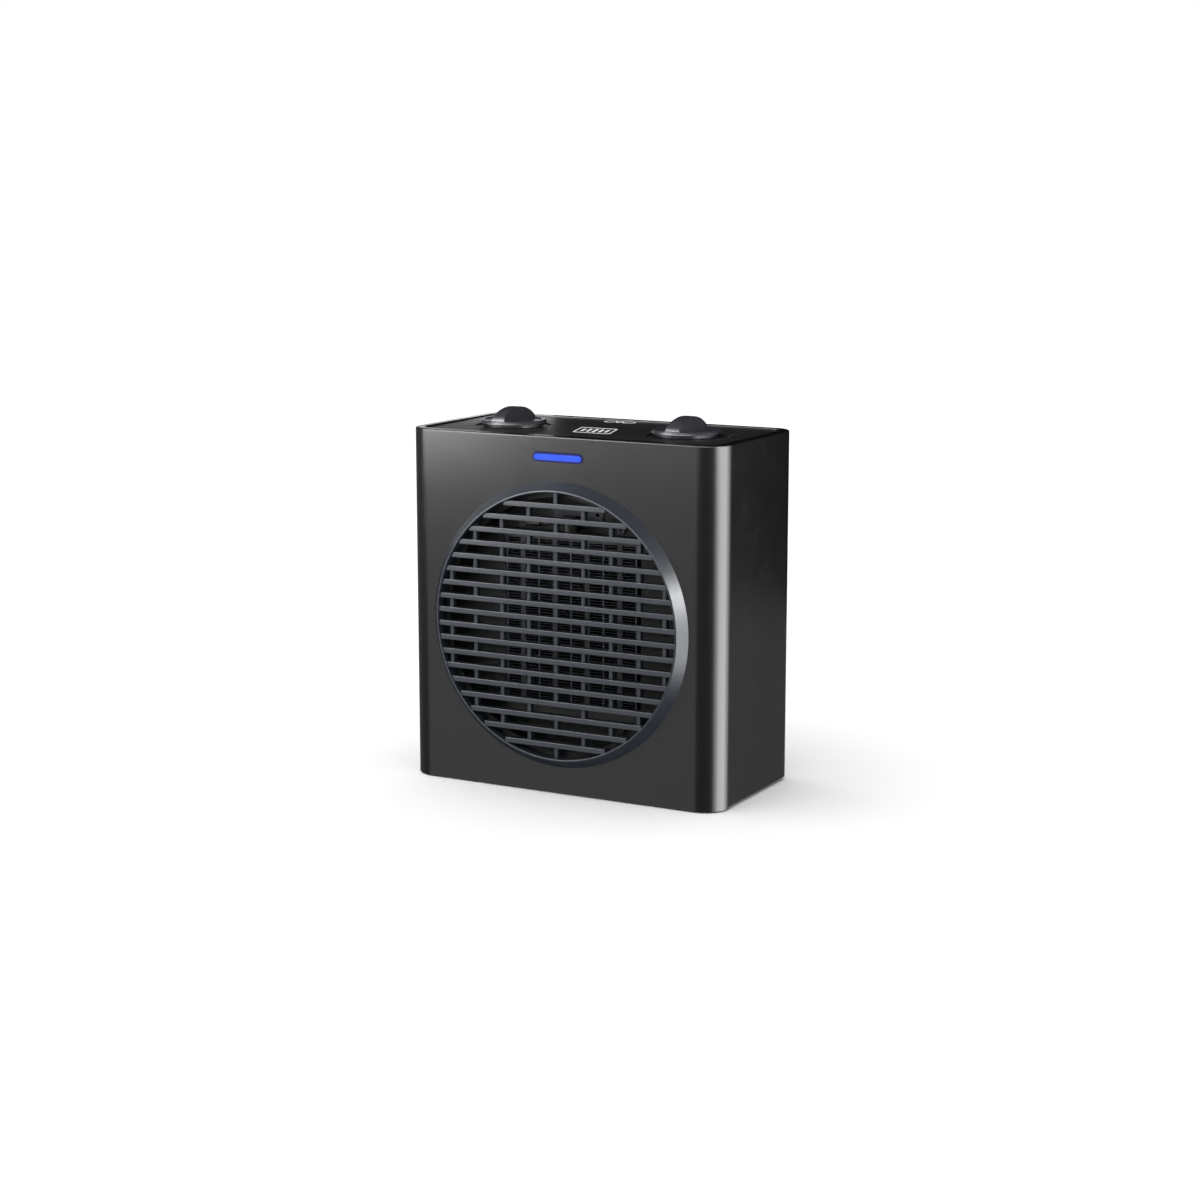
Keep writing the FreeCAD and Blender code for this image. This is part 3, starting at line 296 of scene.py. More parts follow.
@dataclass(frozen=True)
class LitLens(Finish):
    """Lit window: bright in the middle, deep blue towards its rim, with the two lamps just showing through."""

    centre_mm: Point = (0.0, 0.0, 0.0)
    half_mm: tuple[float, float] = (19.0, 3.1)
    rim_mm: float = 1.4
    rim_dark_mm: float = 0.75
    streak_colour: str = "#4E7CFF"
    lamp_x_mm: float = 9.0
    lamp_reach_mm: float = 7.0
    frost_mm: float = 0.9

    def make(self) -> bpy.types.Material:
        """Draws the glow from the distance to the window's rim.

        Returns:
            The material.
        """
        material, tree, coords = start_material(self.name)
        place = add_node(tree, "ShaderNodeMapping", inputs={
            "Vector": coords, "Location": [-c * MM for c in self.centre_mm],
        })
        axes = add_node(tree, "ShaderNodeSeparateXYZ", inputs={"Vector": place.outputs[0]})
        straight = (self.half_mm[0] - self.half_mm[1]) * MM
        across = add_node(tree, "ShaderNodeMath", {"operation": "ABSOLUTE"}, {0: axes.outputs["X"]})
        beyond = add_node(tree, "ShaderNodeMath", {"operation": "SUBTRACT"}, {0: across.outputs[0], 1: straight})
        past_end = add_node(tree, "ShaderNodeMath", {"operation": "MAXIMUM"}, {0: beyond.outputs[0], 1: 0.0})
        reach = add_node(tree, "ShaderNodeCombineXYZ", inputs={"X": past_end.outputs[0], "Y": axes.outputs["Z"]})
        far = add_node(tree, "ShaderNodeVectorMath", {"operation": "LENGTH"}, {0: reach.outputs[0]})
        edge = self.half_mm[1] * MM
        glow = add_node(tree, "ShaderNodeMapRange", {"interpolation_type": "SMOOTHSTEP"}, {
            "Value": far.outputs["Value"], "From Min": edge - self.rim_mm * MM,
            "From Max": edge - self.rim_dark_mm * MM, "To Min": 1.0, "To Max": 0.0,
        })
        from_lamp = add_node(tree, "ShaderNodeMath", {"operation": "SUBTRACT"}, {
            0: across.outputs[0], 1: self.lamp_x_mm * MM,
        })
        off_lamp = add_node(tree, "ShaderNodeMath", {"operation": "ABSOLUTE"}, {0: from_lamp.outputs[0]})
        lamp = add_node(tree, "ShaderNodeMapRange", {"interpolation_type": "SMOOTHSTEP"}, {
            "Value": off_lamp.outputs[0], "From Max": self.lamp_reach_mm * MM, "To Min": 0.16, "To Max": 0.0,
        })
        frost = add_node(tree, "ShaderNodeTexNoise", inputs={
            "Vector": place.outputs[0], "Scale": 1 / (self.frost_mm * MM), "Detail": 3.0,
        })
        middle = add_node(tree, "ShaderNodeMix", {"data_type": "RGBA"}, {
            0: lamp.outputs["Result"], 6: linear(self.colour), 7: linear(self.streak_colour),
        })
        light = add_node(tree, "ShaderNodeMix", {"data_type": "RGBA"}, {
            0: glow.outputs["Result"], 6: linear(self.shade), 7: middle.outputs[2],
        })
        self.surface(tree, linear(self.shade), frost.outputs["Fac"], frost.outputs["Fac"], 0.01, {
            "IOR": 1.58, "Specular IOR Level": 0.15, "Emission Color": light.outputs[2], "Emission Strength": 0.9,
        }, (0.0, 1.0))
        return material


# Moulded ABS, satin tool finish: near-black with a soft sheen that spreads each reflection over the casing.
CASING_ABS = Moulded("moulded_ABS_satin_black", "#0B0B0C", "#0E0E0F", (0.250, 0.275), grain_mm=0.7,
                     grain_depth_mm=0.0012, mottle_mm=60.0)
# Moulded ABS, spark-eroded texture: a dry, fine-grained black that breaks reflections up.
TEXTURED_ABS = Moulded("moulded_ABS_spark_texture_black", "#17181A", "#1D1E20", (0.46, 0.56), grain_mm=0.8,
                       grain_depth_mm=0.012, mottle_mm=40.0)
# Panel ABS, finer spark texture: matt at steep angles, with a grey bloom towards the light at shallow ones.
PANEL_ABS = Moulded("moulded_ABS_fine_texture_panel", "#0E0E0F", "#121213", (0.42, 0.50), grain_mm=0.6,
                    grain_depth_mm=0.006, mottle_mm=35.0)
# Heat-resistant polyamide, moulded matt: cool charcoal that stays lighter than the casing round it.
GRILLE_NYLON = Moulded("moulded_heat_polyamide_charcoal", "#20262F", "#252B35", (0.30, 0.36), grain_mm=0.6,
                       grain_depth_mm=0.006, mottle_mm=22.0, ior=1.53)
# Dial ABS, satin with slight handling marks: dark grey faces with bright lines along the rims.
DIAL_ABS = Moulded("moulded_ABS_satin_dial", "#2E2F35", "#33343B", (0.28, 0.36),
                   grain_depth_mm=0.003, mottle_mm=9.0)
# Glass-filled polyamide, as moulded: dull near-black with faint flow streaks.
DUCT_NYLON = Moulded("moulded_glass_filled_polyamide", "#08090A", "#0C0D0E", (0.60, 0.72), grain_mm=0.9,
                     grain_depth_mm=0.02, mottle_mm=16.0, flow_stretch=0.5)
# Glass-filled polyamide, moulded in a polished tool: dark grey blades with a low sheen.
FAN_NYLON = Moulded("moulded_polyamide_fan", "#1B1C1E", "#232427", (0.36, 0.46), grain_mm=0.9,
                    grain_depth_mm=0.008, mottle_mm=18.0)
# Phenolic moulding: brown-black, dense and slightly glossy, with a fine fleck.
PHENOLIC = Moulded("compression_moulded_phenolic", "#141312", "#1B1918", (0.44, 0.56),
                   grain_depth_mm=0.008, mottle_mm=4.0, ior=1.6)
# Natural polyamide: milky ivory switch and bobbin plastic.
NATURAL_NYLON = Moulded("moulded_natural_polyamide", "#D9D4C4", "#C9C3B0", (0.36, 0.48), grain_mm=0.7,
                        grain_depth_mm=0.006, mottle_mm=10.0, ior=1.53)
# Steatite: chalk-white fired ceramic with a dry grain.
STEATITE = Moulded("fired_steatite_ceramic", "#E6E1D6", "#D2CCBE", (0.55, 0.70), grain_mm=0.45,
                   grain_depth_mm=0.02, mottle_mm=5.0, ior=1.6)
# Ceramic heating bars under insulating film: dark graphite with a slight sheen.
PTC_BAR = Moulded("fired_ptc_ceramic_film_wrapped", "#202226", "#2C2E33", (0.40, 0.55), grain_mm=1.2,
                  grain_depth_mm=0.03, mottle_mm=12.0)
# Moulded rubber: soft black that scatters light, with a dusty bloom.
RUBBER = Moulded("moulded_rubber_black", "#141414", "#232323", (0.62, 0.80), grain_mm=0.6,
                 grain_depth_mm=0.03, mottle_mm=6.0, ior=1.52)
# Pad-printed ink: pale grey, slightly starved in places.
PRINT_INK = Moulded("pad_printed_ink_grey", "#E4E6E8", "#C9CBCE", (0.45, 0.60), grain_mm=0.4,
                    grain_depth_mm=0.004, mottle_mm=2.0)
# Pad-printed scale ink: dim grey that only just lifts off the panel.
SCALE_INK = Moulded("pad_printed_ink_dim_grey", "#6E7073", "#58595C", (0.45, 0.60), grain_mm=0.4,
                    grain_depth_mm=0.004, mottle_mm=2.0)
# Zinc-plated steel: pale blue-white metal with cloudy patches and fine rolling streaks.
ZINC_STEEL = Plated("zinc_plated_steel_rolled", "#B9BCC0", "#9DA2A8", (0.28, 0.42))
# Black-oxide steel: dark blue-black screws with worn, brighter patches.
BLACK_STEEL = Plated("black_oxide_steel", "#2B2C2F", "#47484B", (0.34, 0.50), streak_mm=(0.4, 0.4, 0.4),
                     cloud_mm=1.5)
# Folded aluminium foil: mill-finish strip, dulled by heat.
FIN_FOIL = Plated("folded_aluminium_foil_mill_finish", "#5A5C60", "#35373A", (0.38, 0.52), streak_mm=(3.0, 0.3, 3.0),
                  cloud_mm=7.0)
# Brass and sintered bronze: warm yellow metal, slightly tarnished.
BRASS = Plated("tarnished_brass_and_bronze", "#B08D4C", "#7F6232", (0.32, 0.48), streak_mm=(2.0, 2.0, 0.3),
               cloud_mm=3.0)
# Enamelled copper wire, layer wound: red-brown bands, one for each turn. Real turns are 0.35 mm, drawn at 0.8 mm.
COPPER_WIRE = Layered("wound_enamelled_copper_wire", "#A8552B", "#3A170B", (0.22, 0.38), axis="X", pitch_mm=0.8)
# Varnished electrical steel: stacked sheets show as fine dark lines. Real sheets are 0.5 mm, drawn at 1 mm.
LAMINATIONS = Layered("stacked_electrical_steel_varnished", "#5A5D62", "#1C1D20", (0.34, 0.50))


# ---------------------------------------------------------------- helpers: meshes
def node_box(name: str) -> tuple[Vector, Vector]:
    """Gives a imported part's low and high corners in millimetres."""
    low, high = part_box(name)
    return low / MM, high / MM


def node_middle(name: str) -> tuple[Vector, Vector]:
    """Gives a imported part's middle and half its size in millimetres."""
    low, high = node_box(name)
    return (low + high) / 2, (high - low) / 2


def screw_places(name: str, axis: int) -> list[tuple[float, float]]:
    """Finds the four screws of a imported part.

    Args:
        name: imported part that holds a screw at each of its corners.
        axis: number of the second axis of the corners, beside x.

    Returns:
        Both coordinates of each screw.
    """
    low, high = node_box(name)
    far = (low[axis] + SCREW_HEAD, high[axis] - SCREW_HEAD)
    return [(x, other) for x in (low.x + SCREW_HEAD, high.x - SCREW_HEAD) for other in far]


def add_block(bm: BMesh, low: Sequence[float], high: Sequence[float]) -> list[BMVert]:
    """Adds a block between two corners.

    Args:
        bm: mesh to add to.
        low: lowest corner.
        high: highest corner.

    Returns:
        The block's eight vertices.
    """
    size = Vector(high) - Vector(low)
    place = Matrix.Translation((Vector(low) + Vector(high)) / 2) @ Matrix.Diagonal((*size, 1.0))
    return bmesh.ops.create_cube(bm, size=1.0, matrix=place)["verts"]


def edges_of(verts: Iterable[BMVert]) -> list[BMEdge]:
    """Lists the edges that run between the given vertices, in the order they are met."""
    inside = dict.fromkeys(verts)
    return list(dict.fromkeys(e for v in inside for e in v.link_edges if e.other_vert(v) in inside))


def round_edges(bm: BMesh, edges: Iterable[BMEdge], radius: float, segments: int = 2) -> None:
    """Rounds edges.

    Args:
        bm: mesh that holds them.
        edges: edges to round.
        radius: how far the rounding reaches from each edge.
        segments: steps of the rounding.
    """
    bmesh.ops.bevel(bm, geom=list(edges), offset=radius, offset_type="OFFSET", segments=segments, profile=0.5,
                    affect="EDGES", clamp_overlap=True, material=-1)


def sharp_edges(edges: Iterable[BMEdge], test: Callable[[Vector], bool]) -> list[BMEdge]:
    """Picks sharp edges by place.

    Args:
        edges: edges to choose from.
        test: says whether a point belongs; both ends of an edge have to pass.

    Returns:
        Edges with two faces more than 35 degrees apart whose ends pass.
    """
    return [
        e for e in edges
        if len(e.link_faces) == 2 and e.calc_face_angle(0.0) > math.radians(35) and all(test(v.co) for v in e.verts)
    ]


def long_edges(edges: Iterable[BMEdge], axis: int, test: Callable[[Vector], bool]) -> list[BMEdge]:
    """Picks edges by direction and place.

    Args:
        edges: edges to choose from.
        axis: number of the axis that they run along.
        test: says whether a point belongs; both ends of an edge have to pass.

    Returns:
        Edges longer than 1 mm along the axis whose ends pass.
    """
    return [
        e for e in edges
        if abs(e.verts[0].co[axis] - e.verts[1].co[axis]) > 1 and all(test(v.co) for v in e.verts)
    ]


def faces_of(verts: Iterable[BMVert]) -> list[BMFace]:
    """Lists the faces that touch the given vertices, in the order they are met."""
    return list(dict.fromkeys(f for v in verts for f in v.link_faces))


def ends_of(edges: Iterable[BMEdge]) -> list[BMVert]:
    """Lists the ends of the given edges, in the order they are met."""
    return list(dict.fromkeys(v for e in edges for v in e.verts))


def verts_in(geometry: Iterable[object]) -> list[BMVert]:
    """Lists the vertices in an operator's result."""
    return [g for g in geometry if isinstance(g, BMVert)]


def lathe(
    bm: BMesh, profile: Sequence[tuple[float, float]], place: Matrix, segments: int = 64, closed: bool = True
) -> list[BMVert]:
    """Spins a profile about local Z.

    Args:
        bm: mesh to add to.
        profile: radius and height of each point.
        place: matrix from the local frame to the part's.
        segments: steps of the full turn.
        closed: whether the last point joins the first.

    Returns:
        The new vertices.
    """
    before = set(bm.verts)
    verts = [bm.verts.new((r, 0.0, h)) for r, h in profile]
    pairs = list(zip(verts, verts[1:])) + ([(verts[-1], verts[0])] if closed else [])
    edges = [bm.edges.new(pair) for pair in pairs]
    bmesh.ops.spin(bm, geom=verts + edges, cent=(0, 0, 0), axis=(0, 0, 1), dvec=(0, 0, 0), angle=math.tau,
                   steps=segments, use_merge=True, use_duplicate=False)
    bmesh.ops.remove_doubles(bm, verts=[v for v in bm.verts if v not in before], dist=0.002)
    made = [v for v in bm.verts if v not in before]
    bmesh.ops.recalc_face_normals(bm, faces=faces_of(made))
    bmesh.ops.transform(bm, matrix=place, verts=made)
    return made


@dataclass(frozen=True)
class Outline:
    """A flat closed outline: a circle when both halves equal the radius, otherwise a rounded rectangle."""

    x: float
    y: float
    half_w: float
    half_h: float
    radius: float
    segments: int = 6
    far_radius: float | None = None

    def draw(self, bm: BMesh) -> list[BMEdge]:
        """Draws the outline in the XY plane.

        Args:
            bm: mesh to add to.

        Returns:
            The outline's edges.
        """
        middle = Matrix.Translation((self.x, self.y, 0.0))
        if self.half_w == self.half_h == self.radius:
            ring = bmesh.ops.create_circle(bm, cap_ends=False, segments=4 * self.segments, radius=self.radius,
                                           matrix=middle)
            return edges_of(ring["verts"])
        before = set(bm.verts)
        place = middle @ Matrix.Diagonal((self.half_w, self.half_h, 1.0, 1.0))
        square = bmesh.ops.create_grid(bm, x_segments=1, y_segments=1, size=1.0, matrix=place)["verts"]
        near = [v for v in square if v.co.y < self.y]
        far = [v for v in square if v.co.y > self.y]
        tight = min(self.half_w, self.half_h) - 0.001
        for corners, radius in ((near, self.radius), (far, self.far_radius or self.radius)):
            if radius > 0:
                bmesh.ops.bevel(
                    bm, geom=corners, offset=min(radius, tight), offset_type="OFFSET", segments=self.segments,
                    profile=0.5, affect="VERTICES", clamp_overlap=True, material=-1,
                )
        bmesh.ops.remove_doubles(bm, verts=[v for v in bm.verts if v not in before], dist=0.005)
        made = [v for v in bm.verts if v not in before]
        bmesh.ops.delete(bm, geom=faces_of(made), context="FACES_ONLY")
        return edges_of(made)


def circle(x: float, y: float, radius: float, segments: int) -> Outline:
    """Gives a round outline, with this many segments in each quarter."""
    return Outline(x, y, radius, radius, radius, segments)


def fill(bm: BMesh, edges: Sequence[BMEdge]) -> list[BMFace]:
    """Fills the flat area between outlines.

    Args:
        bm: mesh that holds the edges.
        edges: edges of the outer outline and of every hole.

    Returns:
        The new faces.
    """
    filled = bmesh.ops.triangle_fill(bm, use_beauty=True, use_dissolve=False, edges=list(edges))
    return [g for g in filled["geom"] if isinstance(g, BMFace)]


def add_plate(bm: BMesh, outlines: Sequence[Outline], low: float, high: float, place: Matrix) -> list[BMVert]:
    """Adds a flat plate with holes.

    Args:
        bm: mesh to add to.
        outlines: outer outline first, then the holes.
        low: local height of the underside.
        high: local height of the top.
        place: matrix from the local frame to the part's.

    Returns:
        The new vertices.
    """
    before = set(bm.verts)
    faces = fill(bm, [e for o in outlines for e in o.draw(bm)])
    grown = bmesh.ops.extrude_face_region(bm, geom=faces)["geom"]
    bmesh.ops.translate(bm, vec=(0, 0, high - low), verts=verts_in(grown))
    made = [v for v in bm.verts if v not in before]
    bmesh.ops.translate(bm, vec=(0, 0, low), verts=made)
    bmesh.ops.recalc_face_normals(bm, faces=faces_of(made))
    bmesh.ops.transform(bm, matrix=place, verts=made)
    return made


def link_object(name: str, data: bpy.types.ID) -> bpy.types.Object:
    """Makes an object at the origin and links it to the scene."""
    obj = bpy.data.objects.new(name, data)
    bpy.context.scene.collection.objects.link(obj)
    return obj


def mesh_object(name: str, bm: BMesh, material: bpy.types.Material) -> bpy.types.Object:
    """Turns a finished mesh into an object.

    Args:
        name: name of the object.
        bm: its mesh in metres, freed here.
        material: its only material.

    Returns:
        The new object.
    """
    mesh = bpy.data.meshes.new(name)
    bm.to_mesh(mesh)
    bm.free()
    mesh.materials.append(material)
    return link_object(name, mesh)


def hide_from(obj: bpy.types.Object, *rays: Ray) -> None:
    """Hides an object from kinds of ray."""
    for ray in rays:
        setattr(obj, ray.value, False)


def make_piece(
    name: str,
    bm: BMesh,
    finish: Finish,
    body: Body,
    replaces: Sequence[str] = (),
    smooth_deg: float = 35.0,
) -> bpy.types.Object:
    """Turns a finished mesh into a piece of the heater.

    Args:
        name: name of the piece.
        bm: its mesh in millimetres, freed here.
        finish: its surface.
        body: moving group that it rides on.
        replaces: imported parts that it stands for.
        smooth_deg: faces that meet at less than this are shaded as one.

    Returns:
        The new object.
    """
    bmesh.ops.transform(bm, matrix=Matrix.Diagonal((MM, MM, MM, 1.0)), verts=bm.verts)
    obj = mesh_object(name, bm, finish.material())
    obj.data.shade_smooth()
    obj.data.set_sharp_from_angle(angle=math.radians(smooth_deg))
    weighted = obj.modifiers.new("even_shading", "WEIGHTED_NORMAL")
    weighted.keep_sharp = True
    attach(obj, body.value)
    if replaces:
        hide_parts(*replaces)
    LOG.info("%s: %d faces, rides on %s", name, len(obj.data.polygons), body.value)
    return obj


# ---------------------------------------------------------------- casing
@dataclass
class Casing:
    """Outer sleeve, feet and the screw posts inside the sleeve."""

    wall: float = 2.5
    front_radius: float = 18.0
    rear_radius: float = 15.0
    rim_width: float = 6.5
    rim_round: float = 1.2
    side_sill: float = 2.6
    outlet_radius: float = 95.2
    window_gap: float = 0.15
    cover_gap: float = 0.3
    opening_round: float = 0.25
    post_radius: float = 4.5
    post_bore: float = 1.5
    post_foot: float = 5.2
    pad_half: tuple[float, float] = (13.0, 8.0)
    pad_radius: float = 5.0
    tread_x: tuple[float, ...] = (-7.5, -2.5, 2.5, 7.5)

    def build(self) -> None:
        """Builds the sleeve and the feet."""
        self.build_sleeve()
        self.build_feet()

    def skin(self, bm: BMesh, low: Vector, high: Vector) -> None:
        """Shapes the closed box into the sleeve's outer skin.

        Args:
            bm: empty mesh.
            low: lowest corner.
            high: highest corner.
        """
        add_block(bm, low, high)
        for y, radius in ((low.y, self.front_radius), (high.y, self.rear_radius)):
            round_edges(bm, long_edges(bm.edges, 2, lambda p: abs(p.y - y) < 0.01), radius, 18)
        top = max(bm.faces, key=lambda f: f.calc_center_median().z)
        bmesh.ops.inset_region(bm, faces=[top], thickness=self.rim_width, use_even_offset=True, use_boundary=True)
        bmesh.ops.delete(bm, geom=[top], context="FACES")
        bmesh.ops.delete(bm, geom=[min(bm.faces, key=lambda f: f.calc_center_median().z)], context="FACES")
        round_edges(bm, sharp_edges(bm.edges, lambda p: p.z > high.z - 0.01), self.rim_round, 6)

    def open_wall(self, bm: BMesh, front: bool, holes: Sequence[Outline], y: float) -> None:
        """Replaces a flat wall by one with holes.

        Args:
            bm: the skin.
            front: whether the wall is the front one.
            holes: outlines of the holes, drawn over x and z.
            y: depth of the wall.
        """
        sign = -1.0 if front else 1.0
        wall = max((f for f in bm.faces if f.normal.y * sign > 0.99), key=lambda f: f.calc_area())
        border = list(wall.edges)
        bmesh.ops.delete(bm, geom=[wall], context="FACES_ONLY")
        loops: list[BMEdge] = []
        for hole in holes:
            edges = hole.draw(bm)
            bmesh.ops.transform(bm, matrix=Matrix.Translation((0, y, 0)) @ STAND_UP, verts=ends_of(edges))
            loops += edges
        fill(bm, border + loops)

    def build_sleeve(self) -> None:
        """Builds the seamless skin with its outlet, window and rear openings, then gives it its wall."""
        low, high = node_box("outer_sleeve")
        lens, lens_half = node_middle("indicator_lens")
        cover, cover_half = node_middle("rear_cover")
        bm = bmesh.new()
        self.skin(bm, low, high)
        window_h, window_w = (side - LENS_FLANGE + self.window_gap for side in (lens_half.z, lens_half.x))
        self.open_wall(bm, True, [
            circle(0, node_middle("front_grille")[0].z, self.outlet_radius, 32),
            Outline(0, lens.z, window_w, window_h, window_h, 8),
        ], low.y)
        self.open_wall(bm, False, [
            Outline(0, cover.z, cover_half.x + self.cover_gap, cover_half.z + self.cover_gap, 4.3, 6),
        ], high.y)
        every = [*bm.verts, *bm.edges, *bm.faces]
        bmesh.ops.bisect_plane(bm, geom=every, plane_co=(0, 0, self.side_sill), plane_no=(0, 0, 1), dist=0.001)
        behind_corner = low.y + self.front_radius - 0.1
        middles = [(f, f.calc_center_median()) for f in bm.faces]
        under = [f for f, middle in middles if middle.z < self.side_sill and middle.y > behind_corner]
        bmesh.ops.delete(bm, geom=under, context="FACES")
        bmesh.ops.recalc_face_normals(bm, faces=bm.faces)
        bmesh.ops.solidify(bm, geom=list(bm.faces), thickness=self.wall)
        bmesh.ops.recalc_face_normals(bm, faces=bm.faces)
        round_edges(bm, sharp_edges(bm.edges, lambda p: p.z > high.z - 0.01), 0.5, 2)
        openings = sharp_edges(
            bm.edges, lambda p: abs(p.y - low.y) < 0.01 and abs(p.x) < 100 and p.z > self.post_foot
        )
        round_edges(bm, openings, self.opening_round, 2)
        self.add_posts(bm, high)
        make_piece("casing_sleeve", bm, CASING_ABS, Body.HOUSING, ["outer_sleeve"])

    def add_posts(self, bm: BMesh, high: Vector) -> None:
        """Adds the screw posts that the rear cover and the base screw to.

        Args:
            bm: the sleeve.
            high: highest corner of the sleeve.
        """
        r, bore, foot = self.post_radius, self.post_bore, self.post_foot
        for x, z in screw_places("rear_cover_screws", 2):
            place = Matrix.Translation((x, high.y - self.wall, z)) @ STAND_UP
            lathe(bm, [(bore, 0.2), (r, 0.2), (r, 17.0), (bore, 17.5)], place, 24)
        for x, y in screw_places("base_screws", 1):
            place = Matrix.Translation((x, y, foot))
            lathe(bm, [(bore, 0.0), (r, 0.0), (r, 21.0), (r - 0.5, 21.5), (bore, 21.5)], place, 24)
            side = math.copysign(1.0, x)
            span = sorted((x + side * (r - 0.5), side * (high.x - self.wall / 2)))
            add_block(bm, (span[0], y - 1, foot), (span[1], y + 1, 25.0))

    def build_feet(self) -> None:
        """Builds the four rubber pads with worn-round treads and pressed-in stems."""
        low, high = node_box("rubber_feet")
        height = node_box("base_plate")[0].z
        half_x, half_y = self.pad_half
        bm = bmesh.new()
        for x in (low.x + half_x, high.x - half_x):
            for y in (low.y + half_y, high.y - half_y):
                pad = Outline(x, y, half_x, half_y, self.pad_radius, 6)
                tread = [Outline(x + dx, y, 1.1, half_y - 3.5, 1.1, 4) for dx in self.tread_x]
                verts = add_plate(bm, [pad, *tread], 0.0, 0.8, FLAT)
                verts += add_plate(bm, [pad], 0.7, height, FLAT)
                round_edges(bm, sharp_edges(edges_of(verts), lambda p: p.z < 0.01), 0.25, 2)
                lathe(bm, [(0, height - 0.2), (3.0, height - 0.2), (3.0, high.z - 1.6), (4.0, high.z - 1.4),
                           (3.6, high.z - 0.3), (2.4, high.z), (0, high.z)], Matrix.Translation((x, y, 0)), 24, False)
        make_piece("foot_pads", bm, RUBBER, Body.HOUSING, ["rubber_feet"])


# ---------------------------------------------------------------- outlet grille
@dataclass
class OutletGrille:
    """Round outlet grille: proud sloped ring, level slats and ribs staggered like brickwork."""

    ring_radius: float = 98.0
    lip_outer: float = 92.4
    lip_inner: float = 91.2
    spigot: float = 94.9
    lip_step: float = 1.0
    slat_count: int = 18
    slat_pitch: float = 9.64
    slat_height: float = 3.5
    slat_depth: float = 6.5
    slat_lean: float = 0.25
    slat_round: float = 0.35
    rib_pitch: float = 42.0
    rib_width: float = 3.0
    rib_setback: float = 2.5
    rib_round: float = 0.5
    outer_rib_x: float = 82.0

    def build(self) -> None:
        """Builds ring, slats and ribs as one moulding."""
        low, high = node_box("front_grille")
        sleeve_low, _ = node_box("outer_sleeve")
        axis_z = (low.z + high.z) / 2
        bm = bmesh.new()
        self.add_ring(bm, low, high, sleeve_low.y, axis_z)
        face_y = low.y + self.lip_step
        for i in range(self.slat_count):
            self.add_slat(bm, face_y, axis_z, (i - (self.slat_count - 1) / 2) * self.slat_pitch)
        for row in range(self.slat_count + 1):
            self.add_ribs(bm, face_y, axis_z, row)
        make_piece("outlet_grille", bm, GRILLE_NYLON, Body.HOUSING, ["front_grille"])

    def add_ring(self, bm: BMesh, low: Vector, high: Vector, wall_y: float, axis_z: float) -> None:
        """Adds the sloped ring, its lip and the spigot behind the wall, with softened edges.

        Args:
            bm: the grille.
            low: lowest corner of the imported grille.
            high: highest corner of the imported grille.
            wall_y: depth of the front wall's face.
            axis_z: height of the outlet's axis.
        """
        proud = wall_y - low.y
        back = wall_y - high.y
        profile = [
            (self.ring_radius, 0.0), (self.lip_outer, proud), (self.lip_inner, proud), (self.lip_inner, back),
            (self.spigot, back), (self.spigot, 0.0),
        ]
        place = Matrix.Translation((0, wall_y, axis_z)) @ STAND_UP
        verts = lathe(bm, profile, place, 160)
        round_edges(bm, sharp_edges(edges_of(verts), lambda p: p.y < wall_y - 1), 0.35, 3)

    def add_slat(self, bm: BMesh, face_y: float, axis_z: float, dz: float) -> None:
        """Adds one slat, as long as the ring is wide at its height.

        Args:
            bm: the grille.
            face_y: depth of the slats' faces.
            axis_z: height of the outlet's axis.
            dz: height of the slat over the axis.
        """
        half_h = self.slat_height / 2
        reach = math.sqrt((self.lip_inner + 1) ** 2 - (abs(dz) + half_h) ** 2)
        z = axis_z + dz
        verts = add_block(bm, (-reach, face_y, z - half_h), (reach, face_y + self.slat_depth, z + half_h))
        crest = [v for v in verts if v.co.y < face_y + 0.01 and v.co.z > z]
        bmesh.ops.translate(bm, vec=(0, self.slat_lean, 0), verts=crest)
        round_edges(bm, long_edges(edges_of(verts), 0, lambda p: True), self.slat_round, 3)

    def add_ribs(self, bm: BMesh, face_y: float, axis_z: float, row: int) -> None:
        """Adds the upright ribs of one row between two slats.

        Args:
            bm: the grille.
            face_y: depth of the slats' faces.
            axis_z: height of the outlet's axis.
            row: row number, from the top.
        """
        dz = (self.slat_count / 2 - row) * self.slat_pitch
        half_w = self.rib_width / 2
        if row % 2 == 0:
            places = [0.0, -self.rib_pitch, self.rib_pitch, -self.outer_rib_x, self.outer_rib_x]
        else:
            places = [side * self.rib_pitch * k for side in (-1, 1) for k in (0.5, 1.5)]
        for x in places:
            room = self.lip_inner ** 2 - (abs(x) + half_w) ** 2
            if room <= 0 or math.sqrt(room) < abs(dz) - 2.5:
                continue
            low_z, high_z = axis_z + dz - self.slat_pitch / 2, axis_z + dz + self.slat_pitch / 2
            if row in (0, self.slat_count):
                edge = math.sqrt((self.lip_inner + 1) ** 2 - (abs(x) + half_w) ** 2)
                low_z, high_z = (low_z, axis_z + edge) if dz > 0 else (axis_z - edge, high_z)
            front = face_y + self.rib_setback
            verts = add_block(bm, (x - half_w, front, low_z), (x + half_w, face_y + self.slat_depth - 0.1, high_z))
            round_edges(bm, long_edges(edges_of(verts), 2, lambda p: p.y < front + 0.01), self.rib_round, 2)


